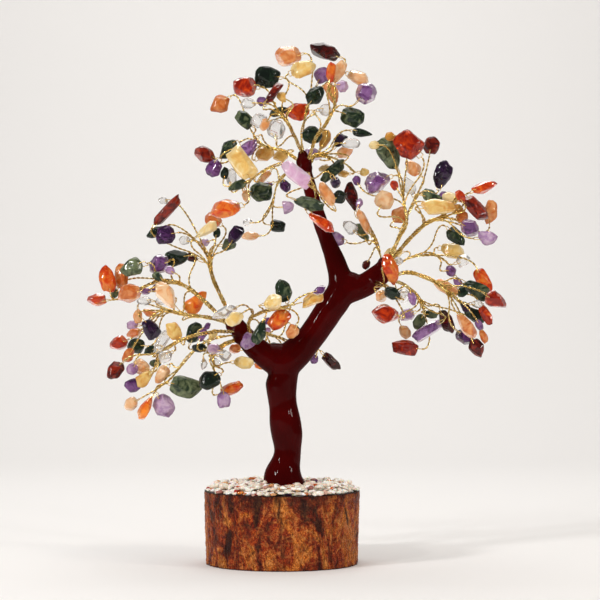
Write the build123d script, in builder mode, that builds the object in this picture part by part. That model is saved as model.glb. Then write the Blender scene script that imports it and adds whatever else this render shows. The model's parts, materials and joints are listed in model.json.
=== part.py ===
"""Gemstone tree ornament.

A lacquered putty trunk stands on a slice of log. Its three limbs end in sprigs of twisted
wire, and each wire holds a drilled, tumbled stone chip. Lengths are in millimetres, +Z is up,
the front faces -Y, and the origin is the middle of the log's underside.
"""
from build123d import *
import math
import os
import random

import numpy

os.makedirs("parts", exist_ok=True)

# Log slice
LOG_DIAMETER = 80.5
LOG_HEIGHT = 38.0
BARK_THICKNESS = 4.0
BARK_WAVE = 0.7
BARK_FLARE = 1.0
BARK_POINTS = 44
LOG_HOLE_DEPTH = 16.0

# Gravel glued to the top of the log
GLUE_THICKNESS = 1.4
GRAVEL_COUNT = 170
GRAVEL_FILL = 0.8
GRAVEL_HEIGHT = 2.6

# Wire: one strand, the twisted stem of a stone, and the twisted bunch of a sprig
WIRE_DIAMETER = 0.4
STEM_DIAMETER = 0.7
BUNCH_DIAMETER = 2.0
CORE_WALL = 2.2
CORE_CLEARANCE = 0.15
HINGE_CLEARANCE = 0.3
ROOT_SINK = 0.4
ROOT_CUT_LENGTH = 6.0
ROOT_SWING = 9.0
BEND_SHARE = 0.45
LEAST_BEND = 2.0
FIRST_DEPTH_SHARE = 0.55
STEM_SEAT_GAP = 0.12
STEM_LEAST_TURN = 20.0
STEM_LATEST_START = 0.8
STEM_BEND_REACH = 7.0
STEM_BEND_SHARE = 0.4

# Stone chips
STONE_THICKNESS_SHARE = 0.6
STONE_THICKNESS_LEAST = 2.4
HOLE_DIAMETER = 0.9
HOLE_INSET = 2.2
LOOP_CLEARANCE = 0.2
LOOP_STANDOFF = 0.9
STONE_GAP = 0.2
TRUNK_GAP = 1.6
CHIP_RINGS = ((7, 1.0, 0.0), (4, 0.7, 1.0), (4, 0.7, -1.0))
STONE_SLANT = 10.0
STONE_ROLL = 22.0

# Search for a clear place: step in depth, sideways nudges, and stations tried along the bunch
BEAD_STEP = 0.8
DEPTH_STEP = 1.0
NUDGE_STEPS = (0.0, 0.8, -0.8, 1.5, -1.5)
STATION_SPACING = 1.3
STATION_TURN_COST = 9.0
FIRST_STATION_SHARE = 0.42
STATIONS_TRIED = 12

# Places were set out as seen from the front, from this far away and from this point's height
VIEW_DISTANCE = 1000.0
VIEW_X = 9.0
VIEW_Z = 137.0

# The crown's four layers, from front to back, each as the range of its stones' middles, and how
# far back each limb's own layers stand
LAYERS = {
    "front": (-41.0, -28.0),
    "near": (-19.0, -5.0),
    "far": (4.0, 17.0),
    "back": (26.0, 39.0),
}
LIMB_SHIFTS = {"left": 0.0, "top": 3.5, "right": -2.5}

# Putty trunk: x, y, height above the log and radius of each station along it
STEM = [
    (0.8, 0.0, 0.0, 13.2),
    (0.8, 0.0, 5.0, 10.2),
    (1.0, 0.0, 10.4, 8.6),
    (2.3, 0.0, 15.6, 7.1),
    (3.0, 0.0, 24.0, 7.1),
    (1.6, 0.0, 36.4, 7.7),
    (0.3, 0.0, 47.0, 7.0),
    (0.0, 0.0, 57.2, 7.8),
    (0.0, 0.0, 66.0, 8.2),
]
RIGHT_FORK = [
    (-2.0, 0.0, 59.0, 6.4),
    (1.8, 0.0, 66.0, 8.3),
    (8.2, -0.5, 72.0, 7.7),
    (18.7, -1.0, 84.7, 6.9),
    (26.6, -1.0, 96.4, 7.2),
    (31.0, -1.0, 104.0, 7.2),
]
RIGHT_LIMB = [
    (26.5, -1.0, 98.5, 5.4),
    (33.0, -1.0, 103.0, 6.4),
    (39.5, -1.5, 104.9, 5.9),
    (46.8, -2.5, 108.9, 5.7),
    (52.2, -3.5, 114.4, 4.7),
    (54.4, -4.0, 119.0, 2.9),
    (54.6, -4.0, 122.6, 1.0),
]
TOP_LIMB = [
    (30.4, -1.0, 98.0, 5.6),
    (30.8, -0.5, 107.0, 6.2),
    (28.4, 0.5, 117.5, 5.0),
    (23.6, 1.5, 130.0, 3.9),
    (19.8, 2.0, 140.4, 3.5),
    (16.6, 2.0, 150.8, 3.4),
    (13.5, 2.0, 161.2, 3.2),
    (11.4, 1.5, 171.0, 2.7),
    (10.8, 1.5, 175.7, 2.0),
]
LEFT_LIMB = [
    (4.0, 0.0, 61.0, 5.6),
    (-3.0, -0.5, 66.2, 6.8),
    (-10.4, -1.5, 70.9, 6.0),
    (-16.6, -3.0, 77.0, 5.2),
    (-21.3, -4.0, 82.6, 4.5),
    (-25.0, -5.0, 87.3, 3.6),
    (-26.4, -5.2, 89.2, 2.4),
]
LIMBS = {"left": LEFT_LIMB, "top": TOP_LIMB, "right": RIGHT_LIMB}

# Limb tips that the stones' places were set out from, as x and height above the ground
SET_OUT_TIPS = {"left": (-26.4, 127.2), "top": (10.8, 213.7), "right": (54.6, 160.6)}

# Sprigs: limb, distance of the root from the limb's tip, layer, and the bunch's way as x and height
SPRIGS = {
    "left_upper": ("left", 0.6, "far", [(-31, 137), (-37, 150), (-38, 161)]),
    "left_mid": ("left", 3.0, "near", [(-38, 134), (-51, 145), (-66, 148)]),
    "left_low": ("left", 4.0, "back", [(-36, 128), (-52, 130), (-66, 134)]),
    "left_down": ("left", 6.5, "front", [(-36, 120), (-52, 116), (-66, 107)]),
    "left_drop": ("left", 8.5, "far", [(-38, 117), (-49, 108), (-59, 94)]),
    "left_under": ("left", 10.5, "near", [(-32, 113), (-38, 105), (-34, 97)]),
    "left_inner": ("left", 13.0, "front", [(-18, 127), (-7, 131), (6, 133)]),
    "left_back": ("left", 15.0, "back", [(-12, 121), (-2, 118), (12, 112)]),
    "top_upper_left": ("top", 0.6, "front", [(7, 221), (3, 229), (-4, 238)]),
    "top_crown": ("top", 1.6, "back", [(10, 223), (12, 233), (15, 246)]),
    "top_left": ("top", 4.5, "far", [(2, 215), (-9, 217), (-17, 223)]),
    "top_upper_right": ("top", 5.5, "near", [(17, 221), (24, 230), (29, 240)]),
    "top_right": ("top", 8.0, "far", [(17, 214), (25, 213), (34, 209)]),
    "top_low_left": ("top", 9.0, "near", [(2, 209), (-9, 205), (-19, 198)]),
    "top_under": ("top", 12.0, "back", [(4, 206), (-3, 198), (-5, 188)]),
    "top_front": ("top", 13.0, "front", [(13, 204), (16, 197), (20, 188)]),
    "right_upper": ("right", 2.8, "near", [(60, 167), (66, 177), (63, 190)]),
    "right_inner": ("right", 5.0, "far", [(50, 166), (46, 175), (41, 184)]),
    "right_high": ("right", 6.0, "back", [(61, 170), (66, 183), (73, 197)]),
    "right_out": ("right", 8.0, "front", [(65, 167), (76, 177), (87, 180)]),
    "right_mid": ("right", 9.5, "far", [(66, 159), (77, 162), (86, 158)]),
    "right_low": ("right", 11.5, "near", [(65, 152), (79, 147), (89, 139)]),
    "right_under": ("right", 14.0, "back", [(61, 147), (70, 141), (75, 132)]),
    "right_near": ("right", 16.0, "front", [(53, 145), (57, 141), (60, 135)]),
}

# Stones of each sprig: kind, outline, x and height of the middle, length, width, and the long
# way's slant in degrees as seen from the front
STONES = {
    "left_upper": [
        ("aventurine", "pebble", -66, 172.5, 11, 6, 30),
        ("amethyst", "pebble", -61, 171, 10.5, 10, 10),
        ("quartz", "pebble", -62, 189, 5.5, 4.5, 0),
        ("jasper", "bar", -58.5, 182, 21.5, 6, 48),
        ("quartz", "pebble", -51, 168, 6, 5, 0),
        ("jasper", "pebble", -46, 159, 9, 5, -20),
        ("yellow", "drop", -41, 172, 13.5, 6, 35),
        ("lilac", "pebble", -40.5, 167, 6, 4.5, 20),
        ("peach", "block", -36.5, 179, 10, 8, -30),
        ("aventurine", "pebble", -34, 172, 5.5, 4, 80),
        ("aventurine", "pebble", -28.5, 166, 9.5, 7, 5),
        ("amethyst", "drop", -24.5, 171, 11, 7, 60),
    ],
    "left_mid": [
        ("carnelian", "wedge", -97, 136.5, 11, 7.5, 0),
        ("carnelian", "block", -91, 147.5, 14.5, 9, 100),
        ("aventurine", "pebble", -87.5, 140, 5.5, 4.5, 60),
        ("peach", "block", -85.5, 148, 13.5, 8, 85),
        ("peach", "pebble", -79.5, 140, 13.5, 10.5, 20),
        ("aventurine", "wedge", -78, 153.5, 13.5, 10, 15),
        ("lilac", "pebble", -71, 141, 5.5, 4, 0),
        ("amethyst", "pebble", -66, 143, 5.5, 4, 50),
        ("aventurine", "pebble", -65, 149, 6.5, 4.5, -30),
        ("amethyst", "pebble", -64.5, 155, 12, 10.5, 20),
        ("peach", "drop", -60, 139.5, 17, 9, -50),
        ("lilac", "pebble", -58.5, 152, 6.5, 4.5, -30),
        ("aventurine", "block", -56, 158.5, 14.5, 9, 10),
    ],
    "left_low": [
        ("carnelian", "wedge", -85.5, 115, 11, 8, 20),
        ("peach", "pebble", -80, 108.5, 9, 6, 60),
        ("lilac", "pebble", -78, 124.3, 6.5, 5.5, 0),
        ("peach", "pebble", -77, 119.5, 9, 6, 20),
        ("aventurine", "block", -76, 113.5, 10, 9, 0),
        ("peach", "pebble", -75.3, 129, 8, 5, 90),
        ("quartz", "pebble", -72, 137, 8, 5, 0),
        ("peach", "pebble", -69, 131, 8, 5, -20),
        ("amethyst", "drop", -69, 122.5, 12.5, 9, -50),
        ("quartz", "pebble", -62, 137.5, 9, 6, 10),
        ("carnelian", "wedge", -45, 136, 17, 10, 50),
    ],
    "left_down": [
        ("jasper", "wedge", -87, 99.5, 11, 8, 45),
        ("lilac", "pebble", -78, 100, 6.5, 6, 70),
        ("amethyst", "pebble", -77.5, 91.5, 9, 7.5, 20),
        ("peach", "block", -73.5, 101, 10, 8, -20),
        ("yellow", "drop", -72, 95, 11, 7, 45),
        ("aventurine", "pebble", -69, 110, 6.5, 4.5, 30),
        ("aventurine", "pebble", -66, 103, 6.5, 4.5, 10),
        ("quartz", "pebble", -63, 114, 12.5, 6, 60),
        ("quartz", "pebble", -61, 106.5, 7.5, 6.5, 30),
        ("yellow", "block", -56, 119.5, 11, 8, -60),
    ],
    "left_drop": [
        ("peach", "pebble", -78.5, 83, 8.5, 7, 30),
        ("carnelian", "drop", -71, 81, 14.5, 6, 60),
        ("peach", "wedge", -62.5, 98, 11, 7.5, 55),
        ("lilac", "pebble", -61.5, 82, 13.5, 11.5, -60),
        ("aventurine", "block", -50, 91.5, 17, 11.5, -10),
        ("aventurine", "pebble", -46, 120, 12, 8, 70),
    ],
    "left_under": [
        ("aventurine", "pebble", -43, 111.5, 8, 5, 0),
        ("lilac", "pebble", -41.5, 118, 8, 4.5, 65),
        ("quartz", "pebble", -41, 103, 6.5, 4.5, 90),
        ("lilac", "pebble", -39.5, 123, 5.5, 4, 30),
        ("aventurine", "pebble", -38, 94.5, 12, 10, 30),
        ("yellow", "pebble", -36, 118.5, 6.5, 4.5, 60),
        ("lilac", "pebble", -35.5, 111, 8, 6, -10),
        ("quartz", "pebble", -34.5, 104, 6.5, 4.5, -45),
        ("lilac", "drop", -30.5, 85, 9, 7.5, 100),
        ("quartz", "pebble", -29.5, 107.5, 6.5, 6.5, 0),
        ("carnelian", "block", -26.5, 90, 13.5, 7, 20),
        ("yellow", "pebble", -20, 104, 11, 7, 0),
    ],
    "left_inner": [
        ("quartz", "pebble", -30, 129.5, 13.5, 6, 25),
        ("yellow", "pebble", -25, 126, 10, 7, 35),
        ("lilac", "pebble", -17, 115, 10, 8, 50),
        ("aventurine", "drop", -11.5, 119.5, 13.5, 7, 70),
        ("yellow", "pebble", -4.5, 134.5, 10, 8.5, 10),
        ("carnelian", "block", -1.5, 126, 12.5, 9, 45),
        ("aventurine", "pebble", 0.5, 140.5, 12.5, 9, 110),
        ("peach", "pebble", 5.5, 119.5, 8, 6.5, 60),
        ("yellow", "bar", 15, 136, 13.5, 6.5, 15),
        ("lilac", "pebble", 20, 141, 8, 4.5, 15),
    ],
    "left_back": [
        ("peach", "pebble", -24.5, 112, 6.5, 6, 0),
        ("carnelian", "pebble", -12, 103.5, 6.5, 4.5, -15),
        ("lilac", "pebble", -8, 126.5, 5.5, 4, 10),
        ("lilac", "pebble", -7.5, 120.5, 5.5, 4, 75),
        ("aventurine", "pebble", -4.5, 113.5, 5.5, 4, -5),
        ("aventurine", "pebble", 7, 122.5, 5.5, 4, -45),
        ("lilac", "pebble", 17, 106.5, 5.5, 4.5, 70),
        ("jasper", "bar", 25.5, 105.5, 13.5, 6, -45),
    ],
    "top_upper_left": [
        ("carnelian", "block", -19, 247.5, 12.5, 10.5, 0),
        ("quartz", "pebble", -17.5, 239, 8, 6, 0),
        ("quartz", "pebble", -12, 230, 9, 8.5, 0),
        ("lilac", "pebble", -10.5, 240, 5.5, 5, 0),
        ("peach", "pebble", -9, 227.5, 6.5, 4.5, 60),
        ("aventurine", "block", -7.5, 252.5, 13.5, 11.5, 0),
        ("jasper", "bar", -4.7, 244, 13.5, 5, 55),
        ("quartz", "pebble", -3, 226, 11, 10, 90),
        ("aventurine", "pebble", -2, 234.5, 10, 5, 20),
        ("yellow", "pebble", 0.5, 242, 6.5, 5, -30),
    ],
    "top_crown": [
        ("peach", "block", 3.5, 265, 14.5, 11.5, 10),
        ("carnelian", "wedge", 8, 236, 14.5, 10.5, 0),
        ("yellow", "pebble", 11, 258.5, 14.5, 10, 20),
        ("aventurine", "wedge", 17.5, 244.5, 12.5, 9, 50),
        ("lilac", "pebble", 21, 255, 10, 9, 60),
        ("jasper", "bar", 22.5, 267.5, 18, 9, -20),
    ],
    "top_left": [
        ("jasper", "pebble", -40, 213, 12.5, 9, -30),
        ("amethyst", "pebble", -35.5, 206, 10, 9, 60),
        ("peach", "wedge", -32.5, 239, 12.5, 10.5, 40),
        ("aventurine", "pebble", -28.5, 216, 12.5, 10.5, 30),
        ("aventurine", "block", -19.5, 231.5, 11, 8, -40),
        ("lilac", "drop", -17, 217, 12.5, 8, 50),
        ("yellow", "block", -9, 213.5, 10, 9, 30),
        ("yellow", "wedge", -2.5, 212.5, 9, 7, 20),
    ],
    "top_upper_right": [
        ("quartz", "pebble", 23, 236, 8, 7, 0),
        ("carnelian", "bar", 25.5, 255.5, 11, 5, 80),
        ("peach", "drop", 26, 245, 12.5, 7, -70),
        ("peach", "pebble", 29.5, 255.5, 12.5, 8, 60),
        ("lilac", "pebble", 31.5, 248.5, 6.5, 7, 0),
        ("aventurine", "block", 37, 232.5, 12.5, 10.5, -20),
        ("peach", "block", 38.5, 253, 12, 8, -20),
        ("lilac", "pebble", 43.5, 244.5, 12.5, 11.5, 45),
    ],
    "top_right": [
        ("aventurine", "pebble", 15.5, 223.5, 11, 10.5, 20),
        ("lilac", "pebble", 16.5, 213.5, 10, 6.5, -15),
        ("yellow", "drop", 22, 220.5, 12.5, 6, 65),
        ("yellow", "pebble", 22, 206, 6, 4, 20),
        ("aventurine", "bar", 26.5, 204.5, 17, 6.5, 40),
        ("amethyst", "drop", 30, 220.5, 9, 6.5, 50),
        ("yellow", "pebble", 32, 203, 6.5, 4.5, 0),
        ("peach", "pebble", 33, 214.5, 10, 7, 30),
        ("quartz", "pebble", 36, 219, 10, 6, 0),
        ("aventurine", "wedge", 42, 224.5, 11, 5, -10),
        ("yellow", "pebble", 43, 204, 5.5, 4.5, 0),
    ],
    "top_low_left": [
        ("aventurine", "pebble", -30, 203, 6.5, 4.5, 80),
        ("carnelian", "block", -29.5, 184.5, 17, 10.5, 10),
        ("quartz", "pebble", -26.5, 201, 10, 6, 90),
        ("aventurine", "wedge", -23, 196.5, 11, 5, 25),
        ("yellow", "bar", -21, 208, 19, 10.5, -55),
        ("peach", "pebble", -19, 191, 6.5, 4.5, 90),
        ("aventurine", "pebble", -12.5, 192, 13.5, 11, 0),
    ],
    "top_under": [
        ("quartz", "pebble", -18, 178, 5.5, 4.5, 0),
        ("peach", "pebble", -16.5, 171, 10, 5, 0),
        ("peach", "bar", -9.5, 201.5, 10, 4.5, 45),
        ("amethyst", "pebble", -8, 197.5, 6.5, 4.5, 20),
        ("aventurine", "bar", -2.5, 176, 9, 7, -10),
        ("amethyst", "drop", 1.5, 197.5, 8, 6.5, -60),
        ("lilac", "pebble", 2.5, 186, 8, 7.5, 0),
    ],
    "top_front": [
        ("rose", "bar", 8, 201.5, 20, 8, -42),
        ("aventurine", "drop", 13.5, 186.5, 17, 7, -17),
        ("carnelian", "drop", 20.5, 177, 17, 6.5, -38),
        ("peach", "pebble", 23.5, 191, 14.5, 6.5, -60),
        ("amethyst", "pebble", 28, 197.5, 6.5, 6, -60),
        ("aventurine", "block", 30, 190, 7.5, 7, 0),
    ],
    "right_upper": [
        ("lilac", "pebble", 39, 199, 5.5, 4.5, -60),
        ("yellow", "pebble", 48, 217.5, 5.5, 4.5, 0),
        ("lilac", "drop", 50, 198.5, 14.5, 11.5, 20),
        ("peach", "pebble", 53.5, 188.5, 10, 10, 60),
        ("aventurine", "drop", 56.5, 213, 19, 12.5, -65),
        ("yellow", "pebble", 56.5, 222, 6, 5, 0),
        ("carnelian", "pebble", 59, 196.5, 5.5, 4.5, -60),
        ("peach", "pebble", 61.5, 181, 10, 9, 45),
        ("carnelian", "block", 66.5, 217.5, 15.5, 15, -45),
    ],
    "right_inner": [
        ("lilac", "pebble", 28.5, 169, 9, 8, -20),
        ("quartz", "pebble", 35.5, 175, 9, 7, -40),
        ("jasper", "drop", 36.5, 190, 18, 7.5, -75),
        ("lilac", "pebble", 40.5, 187.5, 5.5, 4, 80),
        ("aventurine", "bar", 41.5, 172.5, 11, 5, -60),
        ("peach", "bar", 42.5, 178, 14.5, 5, -62),
        ("jasper", "pebble", 44, 155.5, 5.5, 4.5, 60),
    ],
    "right_high": [
        ("quartz", "pebble", 66, 197, 11, 8, -60),
        ("peach", "wedge", 68.5, 206.5, 11, 8, -45),
        ("aventurine", "pebble", 76.5, 193, 8, 6, 0),
        ("jasper", "block", 78, 218.5, 10, 9, 80),
        ("amethyst", "drop", 84, 203, 15.5, 10, 75),
        ("lilac", "pebble", 84, 192, 5.5, 4.5, 70),
    ],
    "right_out": [
        ("aventurine", "wedge", 78.5, 190, 11, 5, -10),
        ("yellow", "block", 81.5, 184.5, 18, 8.5, 0),
        ("yellow", "pebble", 88, 189.5, 9, 6, -20),
        ("yellow", "pebble", 91.5, 184, 6.5, 6, 0),
        ("carnelian", "pebble", 93, 190, 6.5, 5, -60),
        ("peach", "pebble", 94, 179.5, 6.5, 6, 20),
        ("amethyst", "pebble", 98, 173.5, 10, 9, -30),
        ("jasper", "bar", 101, 182.5, 17, 8.5, -45),
        ("carnelian", "wedge", 106, 193.5, 14, 6, 20),
        ("lilac", "pebble", 107, 168, 11, 7.5, 0),
        ("peach", "pebble", 109, 182, 12.5, 7, 85),
    ],
    "right_mid": [
        ("yellow", "pebble", 58, 162, 10, 7, 10),
        ("lilac", "pebble", 88, 152, 6, 6, 0),
        ("yellow", "pebble", 89, 163, 13.5, 9, -10),
        ("aventurine", "wedge", 91, 170, 12.5, 8, -45),
        ("lilac", "pebble", 92, 146, 6.5, 5, -60),
        ("quartz", "pebble", 94.5, 157.5, 8, 7, 20),
        ("carnelian", "bar", 105, 147, 14.5, 7.5, -62),
    ],
    "right_low": [
        ("peach", "bar", 85.5, 143, 14.5, 6.5, -27),
        ("aventurine", "pebble", 94, 140.5, 5.5, 6, -45),
        ("amethyst", "pebble", 95, 117.5, 10, 7.5, -40),
        ("amethyst", "pebble", 95.5, 133, 6.5, 4.5, -50),
        ("peach", "drop", 95.5, 123.5, 17, 7, -55),
        ("aventurine", "drop", 101, 142, 17, 9, -32),
        ("aventurine", "pebble", 101, 128.5, 12.5, 7, -38),
        ("jasper", "wedge", 101, 112.5, 11, 8, -65),
        ("quartz", "pebble", 102, 134.5, 6.5, 4.5, 0),
        ("lilac", "pebble", 102, 122, 6, 4, -60),
        ("carnelian", "pebble", 107, 130, 12.5, 6, -62),
        ("carnelian", "wedge", 112, 135.5, 12, 9, -30),
    ],
    "right_under": [
        ("peach", "pebble", 64, 121, 8, 6, -60),
        ("carnelian", "block", 64.5, 112.5, 15.5, 8.5, -5),
        ("lilac", "pebble", 65, 129.5, 9, 7, 20),
        ("aventurine", "pebble", 71.5, 126, 9, 7, 60),
        ("lilac", "bar", 76, 121.5, 18, 7, 33),
        ("aventurine", "pebble", 78, 130, 8, 5, -10),
        ("jasper", "pebble", 86, 126.5, 14.5, 8, -65),
        ("peach", "drop", 105, 119, 9, 4.5, -68),
    ],
    "right_near": [
        ("peach", "pebble", 52, 138, 6.5, 7, -45),
        ("carnelian", "wedge", 53.5, 128.5, 15.5, 10.5, -12),
        ("carnelian", "drop", 56.5, 151, 18, 9, -70),
        ("aventurine", "pebble", 57.5, 139.5, 9, 7, -30),
        ("quartz", "pebble", 60.5, 156.5, 5.5, 4.5, 0),
        ("quartz", "pebble", 63, 139, 9, 8, 0),
        ("lilac", "pebble", 68, 137, 8, 4.5, -70),
    ],
}

# Gravel: share of each kind, out of 100
GRAVEL_SHARES = {
    "quartz": 44,
    "peach": 18,
    "jasper": 14,
    "carnelian": 8,
    "aventurine": 9,
    "amethyst": 7,
}

GOLDEN_SHARE = 0.618
GOLDEN_ANGLE = 137.508
FRONT = Vector(0, -1, 0)


def station_point(station):
    """Place of a trunk station, whose height is given above the log."""
    x, y, height, _ = station
    return Vector(x, y, LOG_HEIGHT + height)


def limb_tip(limb):
    """Point where a limb ends."""
    return station_point(LIMBS[limb][-1])


def set_out(limb, x, z, depth):
    """Point at a depth that shows at x, z from the front, carried along with its limb's tip."""
    tip = limb_tip(limb)
    start_x, start_z = SET_OUT_TIPS[limb]
    spread = (VIEW_DISTANCE + depth) / VIEW_DISTANCE
    shown_x = VIEW_X + (x - VIEW_X) * spread
    shown_z = VIEW_Z + (z - VIEW_Z) * spread
    return Vector(shown_x + tip.X - start_x, depth, shown_z + tip.Z - start_z)


def layer_range(name):
    """Depths that the stones of a sprig may stand at."""
    limb, _, layer, _ = SPRIGS[name]
    low, high = LAYERS[layer]
    return low + LIMB_SHIFTS[limb], high + LIMB_SHIFTS[limb]


def along_limb(limb, back):
    """Point on a limb's axis at a distance back from its tip, with the way to the tip and the radius."""
    stations = LIMBS[limb]
    left = back
    for outer, inner in zip(reversed(stations), reversed(stations[:-1])):
        end, start = station_point(outer), station_point(inner)
        run = (end - start).length
        if left <= run:
            share = left / run
            radius = outer[3] + (inner[3] - outer[3]) * share
            return end + (start - end) * share, (end - start) / run, radius
        left -= run
    raise ValueError(f"{limb} limb is shorter than {back}")


def bend_radii(points):
    """Largest round that each corner of a route has room for."""
    radii = []
    for before, corner, after in zip(points, points[1:], points[2:]):
        turn = math.radians((corner - before).get_angle(after - corner))
        shorter = min((corner - before).length, (after - corner).length)
        radii.append(BEND_SHARE * shorter / math.tan(turn / 2))
    return radii


def drop_straight_points(points):
    """Route without the points that lie in line with their neighbours."""
    kept = [points[0]]
    for corner, after in zip(points[1:], points[2:]):
        if (corner - kept[-1]).get_angle(after - corner) > LEAST_BEND:
            kept.append(corner)
    return kept + [points[-1]]


def bent_line(points):
    """Line of straight runs joined by arcs."""
    route = drop_straight_points(points)
    with BuildLine() as way:
        if len(route) == 2:
            Line(*route)
        else:
            FilletPolyline(*route, radius=bend_radii(route))
    return way.wire()


def tube(points, diameter):
    """Round bar along a bent line."""
    way = bent_line(points)
    with BuildPart() as bar:
        with BuildSketch(Plane(way @ 0, z_dir=way % 0)):
            Circle(diameter / 2)
        sweep(path=way)
    return bar.part


def sprig_route(name):
    """Points of a sprig's bunch: its root in the limb's skin, then its way out into its layer."""
    limb, back, _, way = SPRIGS[name]
    middle = sum(layer_range(name)) / 2
    axis_point, ahead, radius = along_limb(limb, back)
    shares = [FIRST_DEPTH_SHARE] + [1.0] * (len(way) - 1)
    outer = [set_out(limb, x, z, middle * share) for (x, z), share in zip(way, shares)]
    leave = outer[0] - axis_point
    sideways = (leave - ahead * leave.dot(ahead)).normalized()
    root = axis_point + sideways * (radius - ROOT_SINK)
    return [root] + outer


class Stone:
    """A chip in its place, with its own axes: u to the wired end, v across, n through it."""

    def __init__(self, limb, row, depth, nudge, seed):
        self.kind, self.outline, x, z, self.length, self.width, slant = row
        self.middle = set_out(limb, x + nudge[0], z + nudge[1], depth)
        self.thickness = max(STONE_THICKNESS_LEAST, STONE_THICKNESS_SHARE * self.width)
        self.slant = math.radians(slant)
        self.chance = random.Random(seed)
        self.tip_out = math.radians(self.chance.uniform(-STONE_SLANT, STONE_SLANT))
        self.roll = math.radians(self.chance.uniform(-STONE_ROLL, STONE_ROLL))

    def face_towards(self, point):
        """Turn the wired end to the side that a point lies on."""
        flat = Vector(math.cos(self.slant), 0, math.sin(self.slant))
        if flat.dot(point - self.middle) < 0:
            flat = -flat
        self.u = flat * math.cos(self.tip_out) + FRONT * math.sin(self.tip_out)
        square = (FRONT - self.u * FRONT.dot(self.u)).normalized()
        self.n = square * math.cos(self.roll) + square.cross(self.u) * math.sin(self.roll)
        self.v = self.n.cross(self.u)

    def at(self, u, v, n):
        """Point given in the stone's own axes."""
        return self.middle + self.u * u + self.v * v + self.n * n

    def loop_end(self):
        """Point where the wire loop closes, just off the stone's wired end."""
        return self.at(self.length / 2 + LOOP_STANDOFF, 0, 0)

    def loop_reach(self):
        """Distance of the loop's legs from the stone's middle plane."""
        return self.thickness / 2 + LOOP_CLEARANCE + WIRE_DIAMETER / 2

    def hole_place(self):
        """Distance of the drilled hole from the stone's middle."""
        return self.length / 2 - min(HOLE_INSET, 0.3 * self.length)

    def half_width(self, share):
        """Half width at a share of the half length, which is 1 at the wired end."""
        if self.outline == "bar":
            return self.width / 2 * max(0.0, 1 - abs(share) ** 5) ** 0.4
        if self.outline == "block":
            return self.width / 2 * max(0.0, 1 - abs(share) ** 3.2) ** 0.5
        taper = {"pebble": 0.0, "drop": 0.35, "wedge": -0.4}[self.outline]
        return self.width / 2 * max(0.0, 1 - share * share) ** 0.5 * (1 - taper * share)

    def corners(self):
        """Corners of the tumbled chip: a rim and a smaller ring on each face, which fill its sizes."""
        rows = []
        for count, size, level in CHIP_RINGS:
            start = self.chance.uniform(0, 360)
            for index in range(count):
                angle = math.radians(start + 360 * (index + self.chance.uniform(-0.22, 0.22)) / count)
                share = math.cos(angle)
                side = math.copysign(1, math.sin(angle))
                swell = self.chance.uniform(0.86, 1.0) * size
                across = side * self.half_width(share) * swell
                rows.append((share * self.length / 2 * swell, across, level * self.chance.uniform(0.8, 1.0)))
        table = numpy.array(rows)
        low, high = table.min(axis=0), table.max(axis=0)
        table = (table - (low + high) / 2) * (self.length, self.width, self.thickness) / (high - low)
        return [self.at(*row) for row in table]

    def beads(self):
        """Table of balls that fill the stone and its loop, for keeping neighbours apart."""
        half = self.thickness / 2
        rows = []
        for share in (-0.9, -0.45, 0.0, 0.45, 0.9):
            along = share * max(self.length / 2 - half * 0.6, 0)
            reach = max(self.half_width(share) - half * 0.8, 0)
            rows += [(along, side * reach, 0, half) for side in (-1, 0, 1)]
        for along in (self.hole_place(), self.length / 2, self.length / 2 + LOOP_STANDOFF):
            rows += [(along, 0, side * self.loop_reach(), WIRE_DIAMETER / 2) for side in (-1, 1)]
        table = numpy.array(rows, dtype=float)
        axes = numpy.array([tuple(self.u), tuple(self.v), tuple(self.n)])
        table[:, :3] = table[:, :3] @ axes + numpy.array(tuple(self.middle))
        return table

    def solid(self):
        """The chip, drilled through near its wired end."""
        with BuildPart() as chip:
            ConvexPolyhedron(self.corners())
            with Locations(Plane(self.at(self.hole_place(), 0, 0), z_dir=self.n)):
                Hole(HOLE_DIAMETER / 2)
        return chip.part

    def loop(self):
        """Closed loop of wire through the hole and round the wired end."""
        far, near, reach = self.length / 2 + LOOP_STANDOFF, self.hole_place(), self.loop_reach()
        places = [(far, -reach), (far, reach), (near, reach), (near, -reach)]
        with BuildPart() as ring:
            with BuildLine() as way:
                FilletPolyline(*[self.at(u, 0, n) for u, n in places], radius=WIRE_DIAMETER, close=True)
            with BuildSketch(Plane(way.line @ 0, z_dir=way.line % 0)):
                Circle(WIRE_DIAMETER / 2)
            sweep(path=way.line)
        return ring.part


def stem_beads(stem, skip=0.0):
    """Table of balls along a stem, leaving out its start."""
    corners = numpy.array([tuple(point) for point in stem])
    runs = []
    for start, end in zip(corners, corners[1:]):
        count = max(1, round(numpy.linalg.norm(end - start) / BEAD_STEP))
        runs.append(start + (end - start) * numpy.linspace(0, 1, count + 1)[:, None])
    spots = numpy.vstack(runs)
    spots = spots[numpy.linalg.norm(spots - corners[0], axis=1) >= skip]
    return numpy.column_stack([spots, numpy.full(len(spots), STEM_DIAMETER / 2)])


def as_table(spots):
    """Balls as rows of x, y, z and radius."""
    return numpy.array([(spot.X, spot.Y, spot.Z, radius) for spot, radius in spots])


def least_gap(balls, others):
    """Smallest gap between two tables of balls."""
    apart = balls[:, None, :3] - others[None, :, :3]
    distance = numpy.sqrt((apart * apart).sum(axis=2))
    return (distance - balls[:, None, 3] - others[None, :, 3]).min()


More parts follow.
